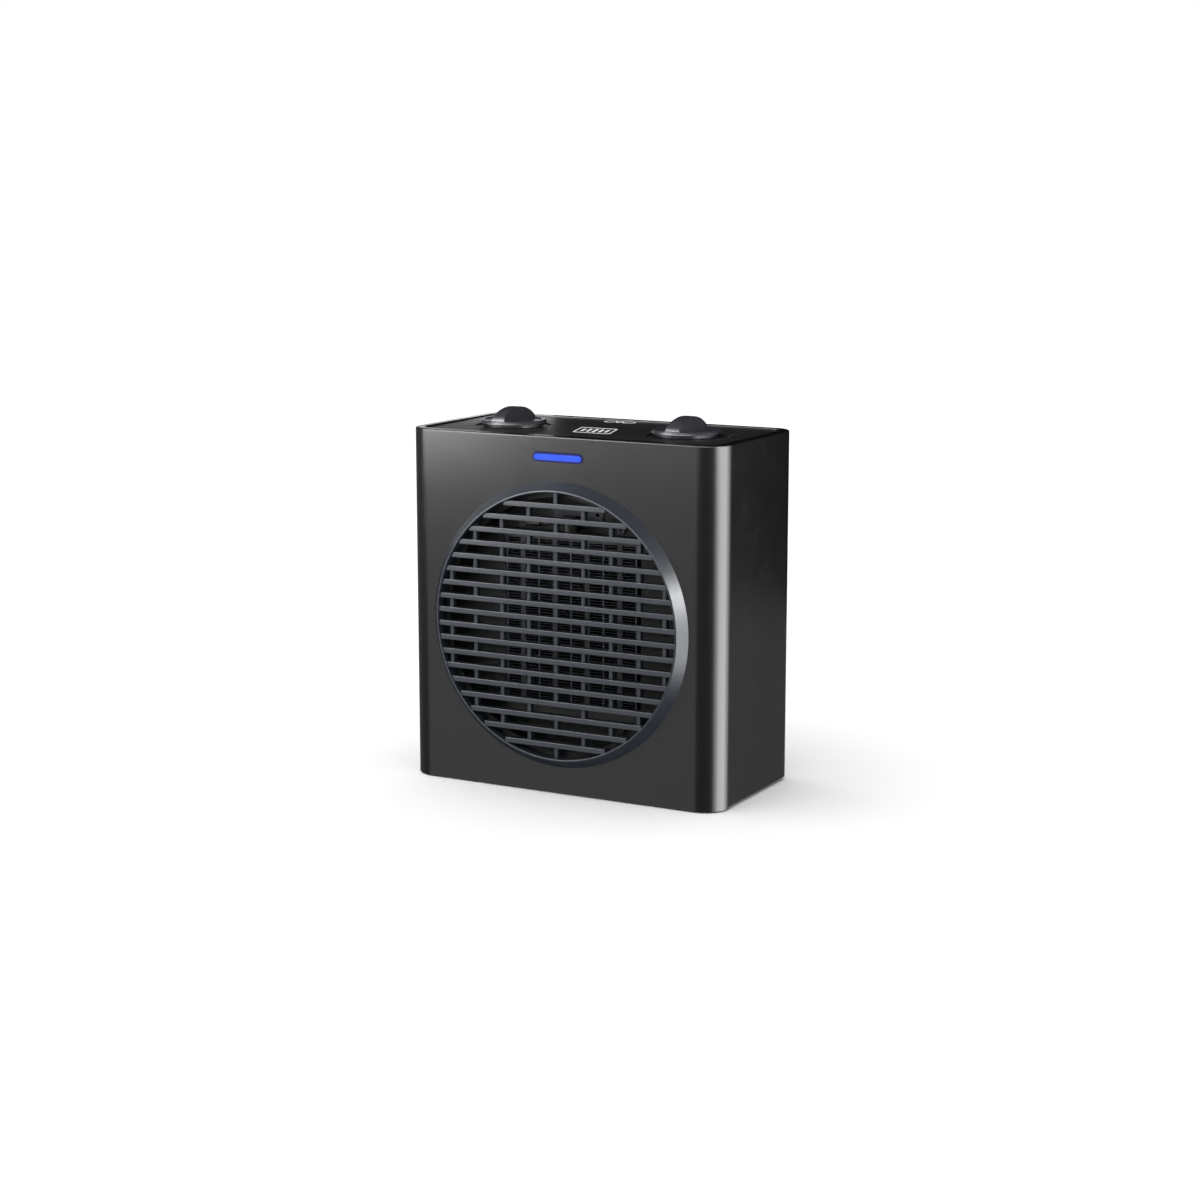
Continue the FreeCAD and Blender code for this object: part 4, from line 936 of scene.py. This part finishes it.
# ---------------------------------------------------------------- top panel and prints
@dataclass
class TopPanel:
    """Control panel inside the rim, with a dish round each dial and its pad-printed marks."""

    front_radius: float = 11.0
    rear_radius: float = 8.0
    thickness: float = 2.0
    margin: float = 7.0
    dish_radius: float = 26.5
    dish_depth: float = 1.0
    bore_radius: float = 7.2
    print_height: float = 0.06
    badge_y: float = -4.0
    badge_slant: float = -0.3
    sign_x: float = -10.0
    sign_y: float = 51.0

    def build(self) -> None:
        """Builds the panel and its prints."""
        self.build_panel()
        self.build_marks()

    def build_panel(self) -> None:
        """Builds the flat panel, its dishes and its softened outer edge."""
        sleeve_low, sleeve_high = node_box("outer_sleeve")
        top = node_box("top_panel")[1].z
        low = Vector((sleeve_low.x + self.margin, sleeve_low.y + self.margin))
        high = Vector((sleeve_high.x - self.margin, sleeve_high.y - self.margin))
        middle, half = (low + high) / 2, (high - low) / 2
        bm = bmesh.new()
        outlines = [Outline(middle.x, middle.y, half.x, half.y, self.front_radius, 10, self.rear_radius)]
        outlines += [circle(x, 0, self.dish_radius, 20) for x in dial_places()]
        fill(bm, [e for o in outlines for e in o.draw(bm)])
        bmesh.ops.translate(bm, vec=(0, 0, top), verts=bm.verts)
        floor = top - self.dish_depth
        for x in dial_places():
            lathe(bm, [(self.dish_radius, top), (self.dish_radius, floor + 0.35), (self.dish_radius - 0.35, floor),
                       (self.bore_radius, floor), (self.bore_radius, floor - 1.0)],
                  Matrix.Translation((x, 0, 0)), 80, False)
        bmesh.ops.remove_doubles(bm, verts=bm.verts, dist=0.01)
        bmesh.ops.recalc_face_normals(bm, faces=bm.faces)
        if max(bm.faces, key=lambda f: f.calc_area()).normal.z < 0:
            bmesh.ops.reverse_faces(bm, faces=bm.faces)
        bmesh.ops.solidify(bm, geom=list(bm.faces), thickness=self.thickness)
        round_edges(bm, sharp_edges(bm.edges, lambda p: p.z > top - 0.01), 0.35, 2)
        make_piece("control_panel", bm, PANEL_ABS, Body.HOUSING, ["top_panel"])

    def build_marks(self) -> None:
        """Prints the dial scales, a plain framed badge of bars and a small sign of two rings and a bar."""
        top = node_box("top_panel")[1].z
        left, right = dial_places()
        bm = bmesh.new()
        lift = (top - 0.01, top + self.print_height)
        scale_radius = self.dish_radius + 4.0
        for i in range(11):
            turn = math.radians(-50 + 28 * i)
            dot = 0.3 + 0.045 * i
            x, y = right - scale_radius * math.cos(turn), scale_radius * math.sin(turn)
            add_plate(bm, [circle(x, y, dot, 5)], *lift, FLAT)
        for bars in range(4):
            spot = Matrix.Translation((left, 0, 0)) @ Matrix.Rotation(-math.radians(90 * bars), 4, "Z")
            if bars == 0:
                add_plate(bm, [circle(0, scale_radius, r, 6) for r in (1.6, 1.15)], *lift, spot)
            for k in range(bars):
                along = (k - (bars - 1) / 2) * 1.8
                add_plate(bm, [Outline(along, scale_radius, 0.4, 1.4, 0.4, 3)], *lift, spot)
        make_piece("dial_scales", bm, SCALE_INK, Body.HOUSING)
        bm = bmesh.new()
        badge = Matrix.Translation((0, self.badge_y, 0)) @ Matrix.Shear("XZ", 4, (self.badge_slant, 0.0))
        add_plate(bm, [Outline(0, 0, 14.4, 15.0, 2.0, 4), Outline(0, 0, 13.2, 12.6, 1.4, 4)], *lift, badge)
        for k in range(5):
            add_plate(bm, [Outline((k - 2) * 4.6, 0, 1.2, 9.0 - 1.2 * abs(k - 2), 0.6, 3)], *lift, badge)
        for x in (self.sign_x - 7.0, self.sign_x + 7.0):
            add_plate(bm, [circle(x, self.sign_y, r, 8) for r in (5.2, 3.6)], *lift, FLAT)
        add_plate(bm, [Outline(self.sign_x, self.sign_y, 1.0, 5.0, 0.9, 3)], *lift, FLAT)
        make_piece("panel_prints", bm, PRINT_INK, Body.HOUSING)


def dial_places() -> tuple[float, float]:
    """Gives the x of the function dial and of the thermostat dial."""
    return node_middle("function_knob")[0].x, node_middle("thermostat_knob")[0].x


# ---------------------------------------------------------------- dials
@dataclass
class Dial:
    """Control dial: a dished disc and a tall arched finger fin."""

    name: str
    node: str
    body: Body
    centre_x: float
    disc_top: float = 248.3
    disc_bottom: float = 243.9
    bevel_foot: float = 246.0
    bore: float = 3.05
    skirt: float = 6.0
    dish_drop: float = 0.8
    undercut: float = 2.0
    rim: float = 3.4
    bevel: float = 0.9
    bevel_height: float = 1.7
    fin_half_length: float = 21.5
    fin_half_base: float = 5.9
    fin_half_top: float = 4.1
    edge_round: float = 0.8

    def build(self) -> None:
        """Builds the disc and the fin as one moulding."""
        low, high = node_box(self.node)
        radius = (high.x - low.x) / 2
        neck, crest = radius - self.undercut, radius - self.bevel
        top = self.disc_top
        floor = top - self.dish_drop
        place = Matrix.Translation((self.centre_x, 0, 0))
        bm = bmesh.new()
        profile = [
            (self.bore, low.z), (self.skirt - 0.3, low.z), (self.skirt, low.z + 0.3), (self.skirt, self.disc_bottom),
            (neck, self.disc_bottom), (neck, self.bevel_foot), (radius - 0.25, self.bevel_foot),
            (radius, self.bevel_foot + 0.2), (radius - 0.1, top - self.bevel_height), (crest + 0.08, top - 0.25),
            (crest - 0.12, top - 0.06), (crest - 0.45, top), (radius - self.rim + 0.3, top),
            (radius - self.rim, top - 0.2), (radius - self.rim - 0.3, floor), (self.bore, floor),
        ]
        lathe(bm, profile, place, 96)
        self.add_fin(bm, floor - 0.15, high.z)
        make_piece(self.name, bm, DIAL_ABS, self.body, [self.node], 40.0)

    def add_fin(self, bm: BMesh, base: float, top: float) -> None:
        """Raises a flat grid into the arched fin.

        Args:
            bm: the dial.
            base: height of the fin's foot.
            top: height of its crown.
        """
        rise = top - base
        grid = bmesh.ops.create_grid(bm, x_segments=10, y_segments=40, size=1.0)["verts"]
        for v in grid:
            column = round((v.co.x + 1) * 5)
            side = -1.0 if column < 5 else 1.0
            step = 5 - abs(column - 5)
            along = v.co.y * math.pi / 2
            height = max(rise * math.cos(along), 0.02)
            soft = min(self.edge_round, height * 0.6)
            share = (0.0, 0.5, 1.0, 1.0, 1.0, 1.0)[step]
            lean = self.fin_half_base + (self.fin_half_top - self.fin_half_base) * share * height / rise
            drop = (0.0, 0.0, soft, soft * 0.42, soft * 0.08, 0.0)[step]
            pull = (0.0, 0.0, 0.0, soft * 0.3, soft * 0.85, lean)[step]
            z = base + (0.0, (height - soft) * 0.5, height, height, height, height)[step] - drop
            v.co = (self.centre_x + side * (lean - pull), self.fin_half_length * math.sin(along), z)
        faces = faces_of(grid)
        bmesh.ops.recalc_face_normals(bm, faces=faces)
        if max(faces, key=lambda f: f.calc_center_median().z).normal.z < 0:
            bmesh.ops.reverse_faces(bm, faces=faces)


# ---------------------------------------------------------------- indicator
@dataclass
class Indicator:
    """Lit stadium-shaped window with its flange behind the wall."""

    flange_thickness: float = 1.2
    edge_round: float = 0.45

    def build(self) -> None:
        """Builds the window and its flange."""
        low, high = node_box("indicator_lens")
        middle, half = node_middle("indicator_lens")
        half_w, half_h, z = half.x - LENS_FLANGE, half.z - LENS_FLANGE, middle.z
        place = Matrix.Translation((0, high.y, 0)) @ STAND_UP
        bm = bmesh.new()
        front = high.y - low.y
        window = add_plate(bm, [Outline(0, z, half_w, half_h, half_h, 10)], self.flange_thickness - 0.1, front, place)
        round_edges(bm, sharp_edges(edges_of(window), lambda p: p.y < low.y + 0.01), self.edge_round, 3)
        add_plate(bm, [Outline(0, z, half.x, half.z, half.z, 8)], 0.0, self.flange_thickness, place)
        # Moulded translucent polycarbonate: saturated blue light with a deep blue rim.
        glow = LitLens("moulded_polycarbonate_lens_lit_blue", "#2C5EF8", "#030A4A", (0.45, 0.60),
                       centre_mm=(0.0, 0.0, z), half_mm=(half_w, half_h))
        make_piece("indicator_window", bm, glow, Body.HOUSING, ["indicator_lens"])


# ---------------------------------------------------------------- rear cover
@dataclass
class RearCover:
    """Screwed back panel with air slots in a round field, a grip recess and the cord bush."""

    wall: float = 2.5
    corner: float = 4.0
    field_radius: float = 80.0
    field_drop: float = 6.0
    slot_pitch: float = 8.0
    slot_height: float = 4.0
    grip_half: float = 36.0
    grip_z: tuple[float, float] = (200.0, 221.0)
    grip_depth: float = 20.0
    grip_wall: float = 2.0
    grip_corner: float = 6.0
    screw_sink: float = 3.6
    bush_seat: float = 9.1
    seat_depth: float = 1.5

    def build(self) -> None:
        """Builds the panel and the cord bush."""
        self.build_panel()
        self.build_bush()

    def slots(self, axis_z: float) -> list[Outline]:
        """Lays out the air slots.

        Args:
            axis_z: height of the fan's axis.

        Returns:
            One outline for each slot.
        """
        rows = int(self.field_radius // self.slot_pitch)
        found = []
        for i in range(-rows, rows + 1):
            reach = math.sqrt(max(self.field_radius ** 2 - (i * self.slot_pitch) ** 2, 0))
            z = axis_z - self.field_drop + i * self.slot_pitch
            for low, high in ((-80.0, -41.5), (-38.5, -1.5), (1.5, 38.5), (41.5, 80.0)):
                low, high = max(low, -reach), min(high, reach)
                if high - low > 2 * self.slot_height:
                    half = self.slot_height / 2
                    found.append(Outline(-(low + high) / 2, z, (high - low) / 2, half, half, 4))
        return found

    def build_panel(self) -> None:
        """Builds the slotted plate and the grip cup behind it."""
        back_y = node_box("rear_cover")[1].y
        cover, half = node_middle("rear_cover")
        gland = node_middle("cord_gland")[0]
        screws = screw_places("rear_cover_screws", 2)
        grip_mid, grip_half_h = sum(self.grip_z) / 2, (self.grip_z[1] - self.grip_z[0]) / 2
        outlines = [
            Outline(0, cover.z, half.x, half.z, self.corner, 6),
            *self.slots(node_middle("front_grille")[0].z),
            Outline(0, grip_mid, self.grip_half, grip_half_h, self.grip_corner, 6),
            circle(-gland.x, gland.z, self.bush_seat, 8),
            *(circle(-x, z, self.screw_sink, 6) for x, z in screws),
        ]
        bm = bmesh.new()
        plate = add_plate(bm, outlines, -self.wall, 0.0, Matrix.Translation((0, back_y, 0)) @ FACE_BACK)
        round_edges(bm, sharp_edges(edges_of(plate), lambda p: p.y > back_y - 0.01), 0.4, 2)
        seats = [(x, z, 1.8, self.screw_sink, 24) for x, z in screws]
        for x, z, bore, sink, segments in (*seats, (gland.x, gland.z, 7.1, self.bush_seat, 32)):
            seat = Matrix.Translation((x, back_y - self.seat_depth, z)) @ STAND_UP
            lathe(bm, [(bore, 0.0), (sink + 0.3, 0.0), (sink + 0.3, 1.0), (bore, 1.0)], seat, segments)
        self.add_cup(bm, back_y, grip_mid, grip_half_h)
        make_piece("rear_panel", bm, TEXTURED_ABS, Body.HOUSING, ["rear_cover"])

    def add_cup(self, bm: BMesh, back_y: float, mid_z: float, half_h: float) -> None:
        """Adds the recess that the fingers go in.

        Args:
            bm: the panel.
            back_y: depth of the panel's outer face.
            mid_z: height of the recess's middle.
            half_h: half its height.
        """
        before = set(bm.verts)
        rim = Outline(0, mid_z, self.grip_half, half_h, self.grip_corner, 6).draw(bm)
        bmesh.ops.translate(bm, vec=(0, 0, -0.3), verts=ends_of(rim))
        deep = bmesh.ops.extrude_edge_only(bm, edges=rim)["geom"]
        bmesh.ops.translate(bm, vec=(0, 0, 0.3 - self.grip_depth), verts=verts_in(deep))
        fill(bm, [g for g in deep if isinstance(g, BMEdge)])
        faces = faces_of(v for v in bm.verts if v not in before)
        bmesh.ops.recalc_face_normals(bm, faces=faces)
        if min(faces, key=lambda f: f.calc_center_median().z).normal.z < 0:
            bmesh.ops.reverse_faces(bm, faces=faces)
        bmesh.ops.solidify(bm, geom=faces, thickness=self.grip_wall)
        made = [v for v in bm.verts if v not in before]
        round_edges(bm, sharp_edges(edges_of(made), lambda p: abs(p.z + self.grip_depth) < 0.01), 2.5, 3)
        made = [v for v in bm.verts if v not in before]
        bmesh.ops.transform(bm, matrix=Matrix.Translation((0, back_y, 0)) @ FACE_BACK, verts=made)

    def build_bush(self) -> None:
        """Builds the rubber cord bush: rounded flange, ringed barrel and lock ring."""
        middle, half = node_middle("cord_gland")
        place = Matrix.Translation((middle.x, middle.y + half.y, middle.z)) @ STAND_UP
        bm = bmesh.new()
        lathe(bm, [
            (3.9, 0.0), (8.5, 0.0), (9.0, 0.5), (9.0, 1.5), (7.0, 1.5), (7.0, 2.6), (8.2, 2.6), (8.6, 3.0),
            (8.6, 4.5), (8.2, 5.0), (7.0, 5.0), (7.0, 8.0), (6.6, 8.3), (6.6, 9.0), (7.0, 9.3), (7.0, 11.0),
            (6.6, 11.3), (6.6, 12.0), (7.0, 12.3), (6.7, 14.0), (3.6, 14.0), (3.6, 0.3),
        ], place, 48)
        make_piece("cord_bush", bm, RUBBER, Body.HOUSING, ["cord_gland"])


# ---------------------------------------------------------------- parts kept as packed
@dataclass
class InnerWorks:
    """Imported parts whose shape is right: each gets the finish of its record slot."""

    finishes: dict[str, Finish] = field(default_factory=lambda: {
        "rear_plastic": TEXTURED_ABS, "rubber_black": RUBBER, "plated_steel": ZINC_STEEL, "black_screw": BLACK_STEEL,
        "lamination_steel": LAMINATIONS, "copper_winding": COPPER_WIRE, "bronze": BRASS, "ptc_ceramic": PTC_BAR,
        "white_ceramic": STEATITE, "fin_aluminium": FIN_FOIL, "heat_plastic": PHENOLIC, "duct_plastic": DUCT_NYLON,
        "fan_plastic": FAN_NYLON, "inner_plastic": NATURAL_NYLON,
    })

    def dress(self) -> None:
        """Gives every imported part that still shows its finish."""
        slots = {row["node"]: row["material_slot"] for row in frame["record"]["subparts"]}
        for name, obj in frame["nodes"].items():
            if obj.hide_render:
                continue
            finish = self.finishes[slots[name]]
            obj.data.materials.clear()
            obj.data.materials.append(finish.material())
            LOG.info("%s: kept as packed, %s", name, finish.name)


# ---------------------------------------------------------------- studio
@dataclass
class StudioPanel:
    """A rectangle hung in the studio so that it faces its aim; places and sizes are in metres."""

    name: str
    place: Point
    aim: Point
    size: tuple[float, float]

    def turn(self) -> Quaternion:
        """Gives the turn that points local -Z at the aim."""
        return (Vector(self.aim) - Vector(self.place)).to_track_quat("-Z", "Y")


@dataclass
class Softbox(StudioPanel):
    """A studio light that only reflections see, so the floor stays evenly lit."""

    radiance: float

    def build(self) -> None:
        """Hangs the light and points it."""
        data = bpy.data.lights.new(self.name, "AREA")
        data.shape = "RECTANGLE"
        data.size, data.size_y = self.size
        data.energy = self.radiance * math.pi * self.size[0] * self.size[1]
        obj = link_object(self.name, data)
        obj.location = self.place
        obj.rotation_euler = self.turn().to_euler()
        hide_from(obj, Ray.CAMERA, Ray.DIFFUSE)
        LOG.info("%s: light", self.name)


@dataclass
class Flag(StudioPanel):
    """A black card that only reflections see."""

    def build(self) -> None:
        """Stands the card up."""
        material, tree, _ = start_material(self.name)
        shader = add_node(tree, "ShaderNodeBsdfDiffuse", inputs={"Color": linear("#050505")})
        add_node(tree, "ShaderNodeOutputMaterial", inputs={"Surface": shader.outputs[0]})
        turned = Matrix.Translation(self.place) @ self.turn().to_matrix().to_4x4()
        shape = turned @ Matrix.Diagonal((self.size[0] / 2, self.size[1] / 2, 1.0, 1.0))
        bm = bmesh.new()
        bmesh.ops.create_grid(bm, x_segments=1, y_segments=1, size=1.0, matrix=shape)
        obj = mesh_object(self.name, bm, material)
        hide_from(obj, Ray.CAMERA, Ray.DIFFUSE, Ray.SHADOW, Ray.TRANSMISSION)
        LOG.info("%s: black card", self.name)


@dataclass
class Studio:
    """Pale floor, soft lights, black cards and the camera."""

    camera_place: Point = (0.79519, -1.46579, 0.43180)
    camera_yaw: float = 0.4963
    camera_pitch: float = 0.1816
    lens_mm: float = 73.32
    surround: float = 0.20
    floor_size: float = 40.0
    sun_strength: float = 1.3
    sun_spread_deg: float = 70.0
    sun_heading: Point = (0.35, 0.30, -1.0)
    fill: float = 0.84

    def build(self) -> None:
        """Builds the set."""
        bpy.context.scene.view_settings.view_transform = "Standard"
        self.build_camera()
        self.build_surround()
        self.build_floor()
        self.build_lights()

    def build_camera(self) -> None:
        """Places the camera."""
        data = bpy.data.cameras.new("camera")
        data.lens, data.sensor_width = self.lens_mm, 36.0
        data.dof.use_dof = False
        obj = link_object("camera", data)
        obj.location = self.camera_place
        obj.rotation_euler = (math.pi / 2 - self.camera_pitch, 0.0, self.camera_yaw)
        bpy.context.scene.camera = obj

    def build_surround(self) -> None:
        """Makes the room: white behind the set, soft fill light, and a plain mid grey for reflections."""
        world = bpy.data.worlds.new("surround")
        world.use_nodes = True
        tree = world.node_tree
        tree.nodes.clear()
        white, grey, soft = (
            add_node(tree, "ShaderNodeBackground", inputs={"Color": linear("#FFFFFF"), "Strength": strength})
            for strength in (1.0, self.surround, self.fill)
        )
        path = add_node(tree, "ShaderNodeLightPath")
        lit = add_node(tree, "ShaderNodeMixShader", inputs={
            0: path.outputs["Is Diffuse Ray"], 1: grey.outputs[0], 2: soft.outputs[0],
        })
        both = add_node(tree, "ShaderNodeMixShader", inputs={
            0: path.outputs["Is Camera Ray"], 1: lit.outputs[0], 2: white.outputs[0],
        })
        add_node(tree, "ShaderNodeOutputWorld", inputs={"Surface": both.outputs[0]})
        world.cycles.sampling_method = "NONE"
        bpy.context.scene.world = world

    def build_floor(self) -> None:
        """Lays the pale matt floor."""
        material, tree, coords = start_material("painted_floor_matt_white")
        paint = add_node(tree, "ShaderNodeTexNoise", inputs={"Vector": coords, "Scale": 3.0, "Detail": 3.0})
        tone = add_node(tree, "ShaderNodeMix", {"data_type": "RGBA"}, {
            0: paint.outputs["Fac"], 6: linear("#FAFAFA"), 7: linear("#F7F7F7"),
        })
        shader = add_node(tree, "ShaderNodeBsdfDiffuse", inputs={"Color": tone.outputs[2]})
        add_node(tree, "ShaderNodeOutputMaterial", inputs={"Surface": shader.outputs[0]})
        bm = bmesh.new()
        bmesh.ops.create_grid(bm, x_segments=4, y_segments=4, size=self.floor_size)
        obj = mesh_object("floor", bm, material)
        hide_from(obj, Ray.GLOSSY)

    def build_lights(self) -> None:
        """Sets an even overhead light that reflections don't see, the softboxes and the black cards."""
        data = bpy.data.lights.new("overhead", "SUN")
        data.energy, data.angle = self.sun_strength, math.radians(self.sun_spread_deg)
        sun = link_object("overhead", data)
        sun.rotation_euler = Vector(self.sun_heading).to_track_quat("-Z", "Y").to_euler()
        hide_from(sun, Ray.GLOSSY)
        lights = [
            Softbox("front_left_wall", (-0.42, -0.80, -0.10), (0.0, -0.05, 0.12), (0.62, 0.80), 0.75),
            Softbox("front_top_band", (-0.20, -0.36, 0.33), (-0.10, 0.0, 0.30), (0.60, 0.30), 0.95),
            Softbox("upper_left_box", (-0.40, -0.36, 0.36), (-0.20, 0.0, 0.30), (0.30, 0.34), 10.0),
            Softbox("right_wide_box", (0.873, 0.071, 0.05), (0.112, -0.05, 0.08), (1.13, 0.90), 4.2),
            Softbox("right_core_box", (0.872, 0.057, 0.05), (0.112, -0.05, 0.08), (0.58, 0.90), 6.5),
            Softbox("ring_box", (0.838, -0.274, 0.336), (0.092, -0.06, 0.142), (0.22, 0.22), 26.0),
            Softbox("dial_box", (-0.290, -0.330, 0.600), (0.0, -0.02, 0.25), (0.26, 0.24), 9.0),
            Softbox("front_high_band", (0.05, -0.775, 0.740), (0.0, -0.02, 0.25), (1.70, 0.24), 12.0),
            Softbox("back_strip", (-0.150, 0.086, 0.258), (-0.13, 0.0, 0.25), (0.12, 0.016), 2.2),
        ]
        cards = [
            Flag("right_rear_card", (0.125, 0.38, 0.555), (0.215, 0.0, 0.555), (0.61, 1.0)),
            Flag("rear_card", (-0.35, 0.75, 0.66), (-0.05, 0.0, 0.60), (1.5, 0.9)),
        ]
        for item in (*lights, *cards):
            item.build()


def main() -> None:
    """Builds every sub-assembly in order."""
    logging.basicConfig(level=logging.INFO, format="%(name)s %(message)s")
    left, right = dial_places()
    assemblies = [
        Casing(), OutletGrille(), TopPanel(),
        Dial("function_dial_knob", "function_knob", Body.FUNCTION_DIAL, left),
        Dial("thermostat_dial_knob", "thermostat_knob", Body.THERMOSTAT_DIAL, right),
        Indicator(), RearCover(), Studio(),
    ]
    for assembly in assemblies:
        LOG.info("building %s", type(assembly).__name__)
        assembly.build()
    InnerWorks().dress()


if __name__ == "__main__":
    main()
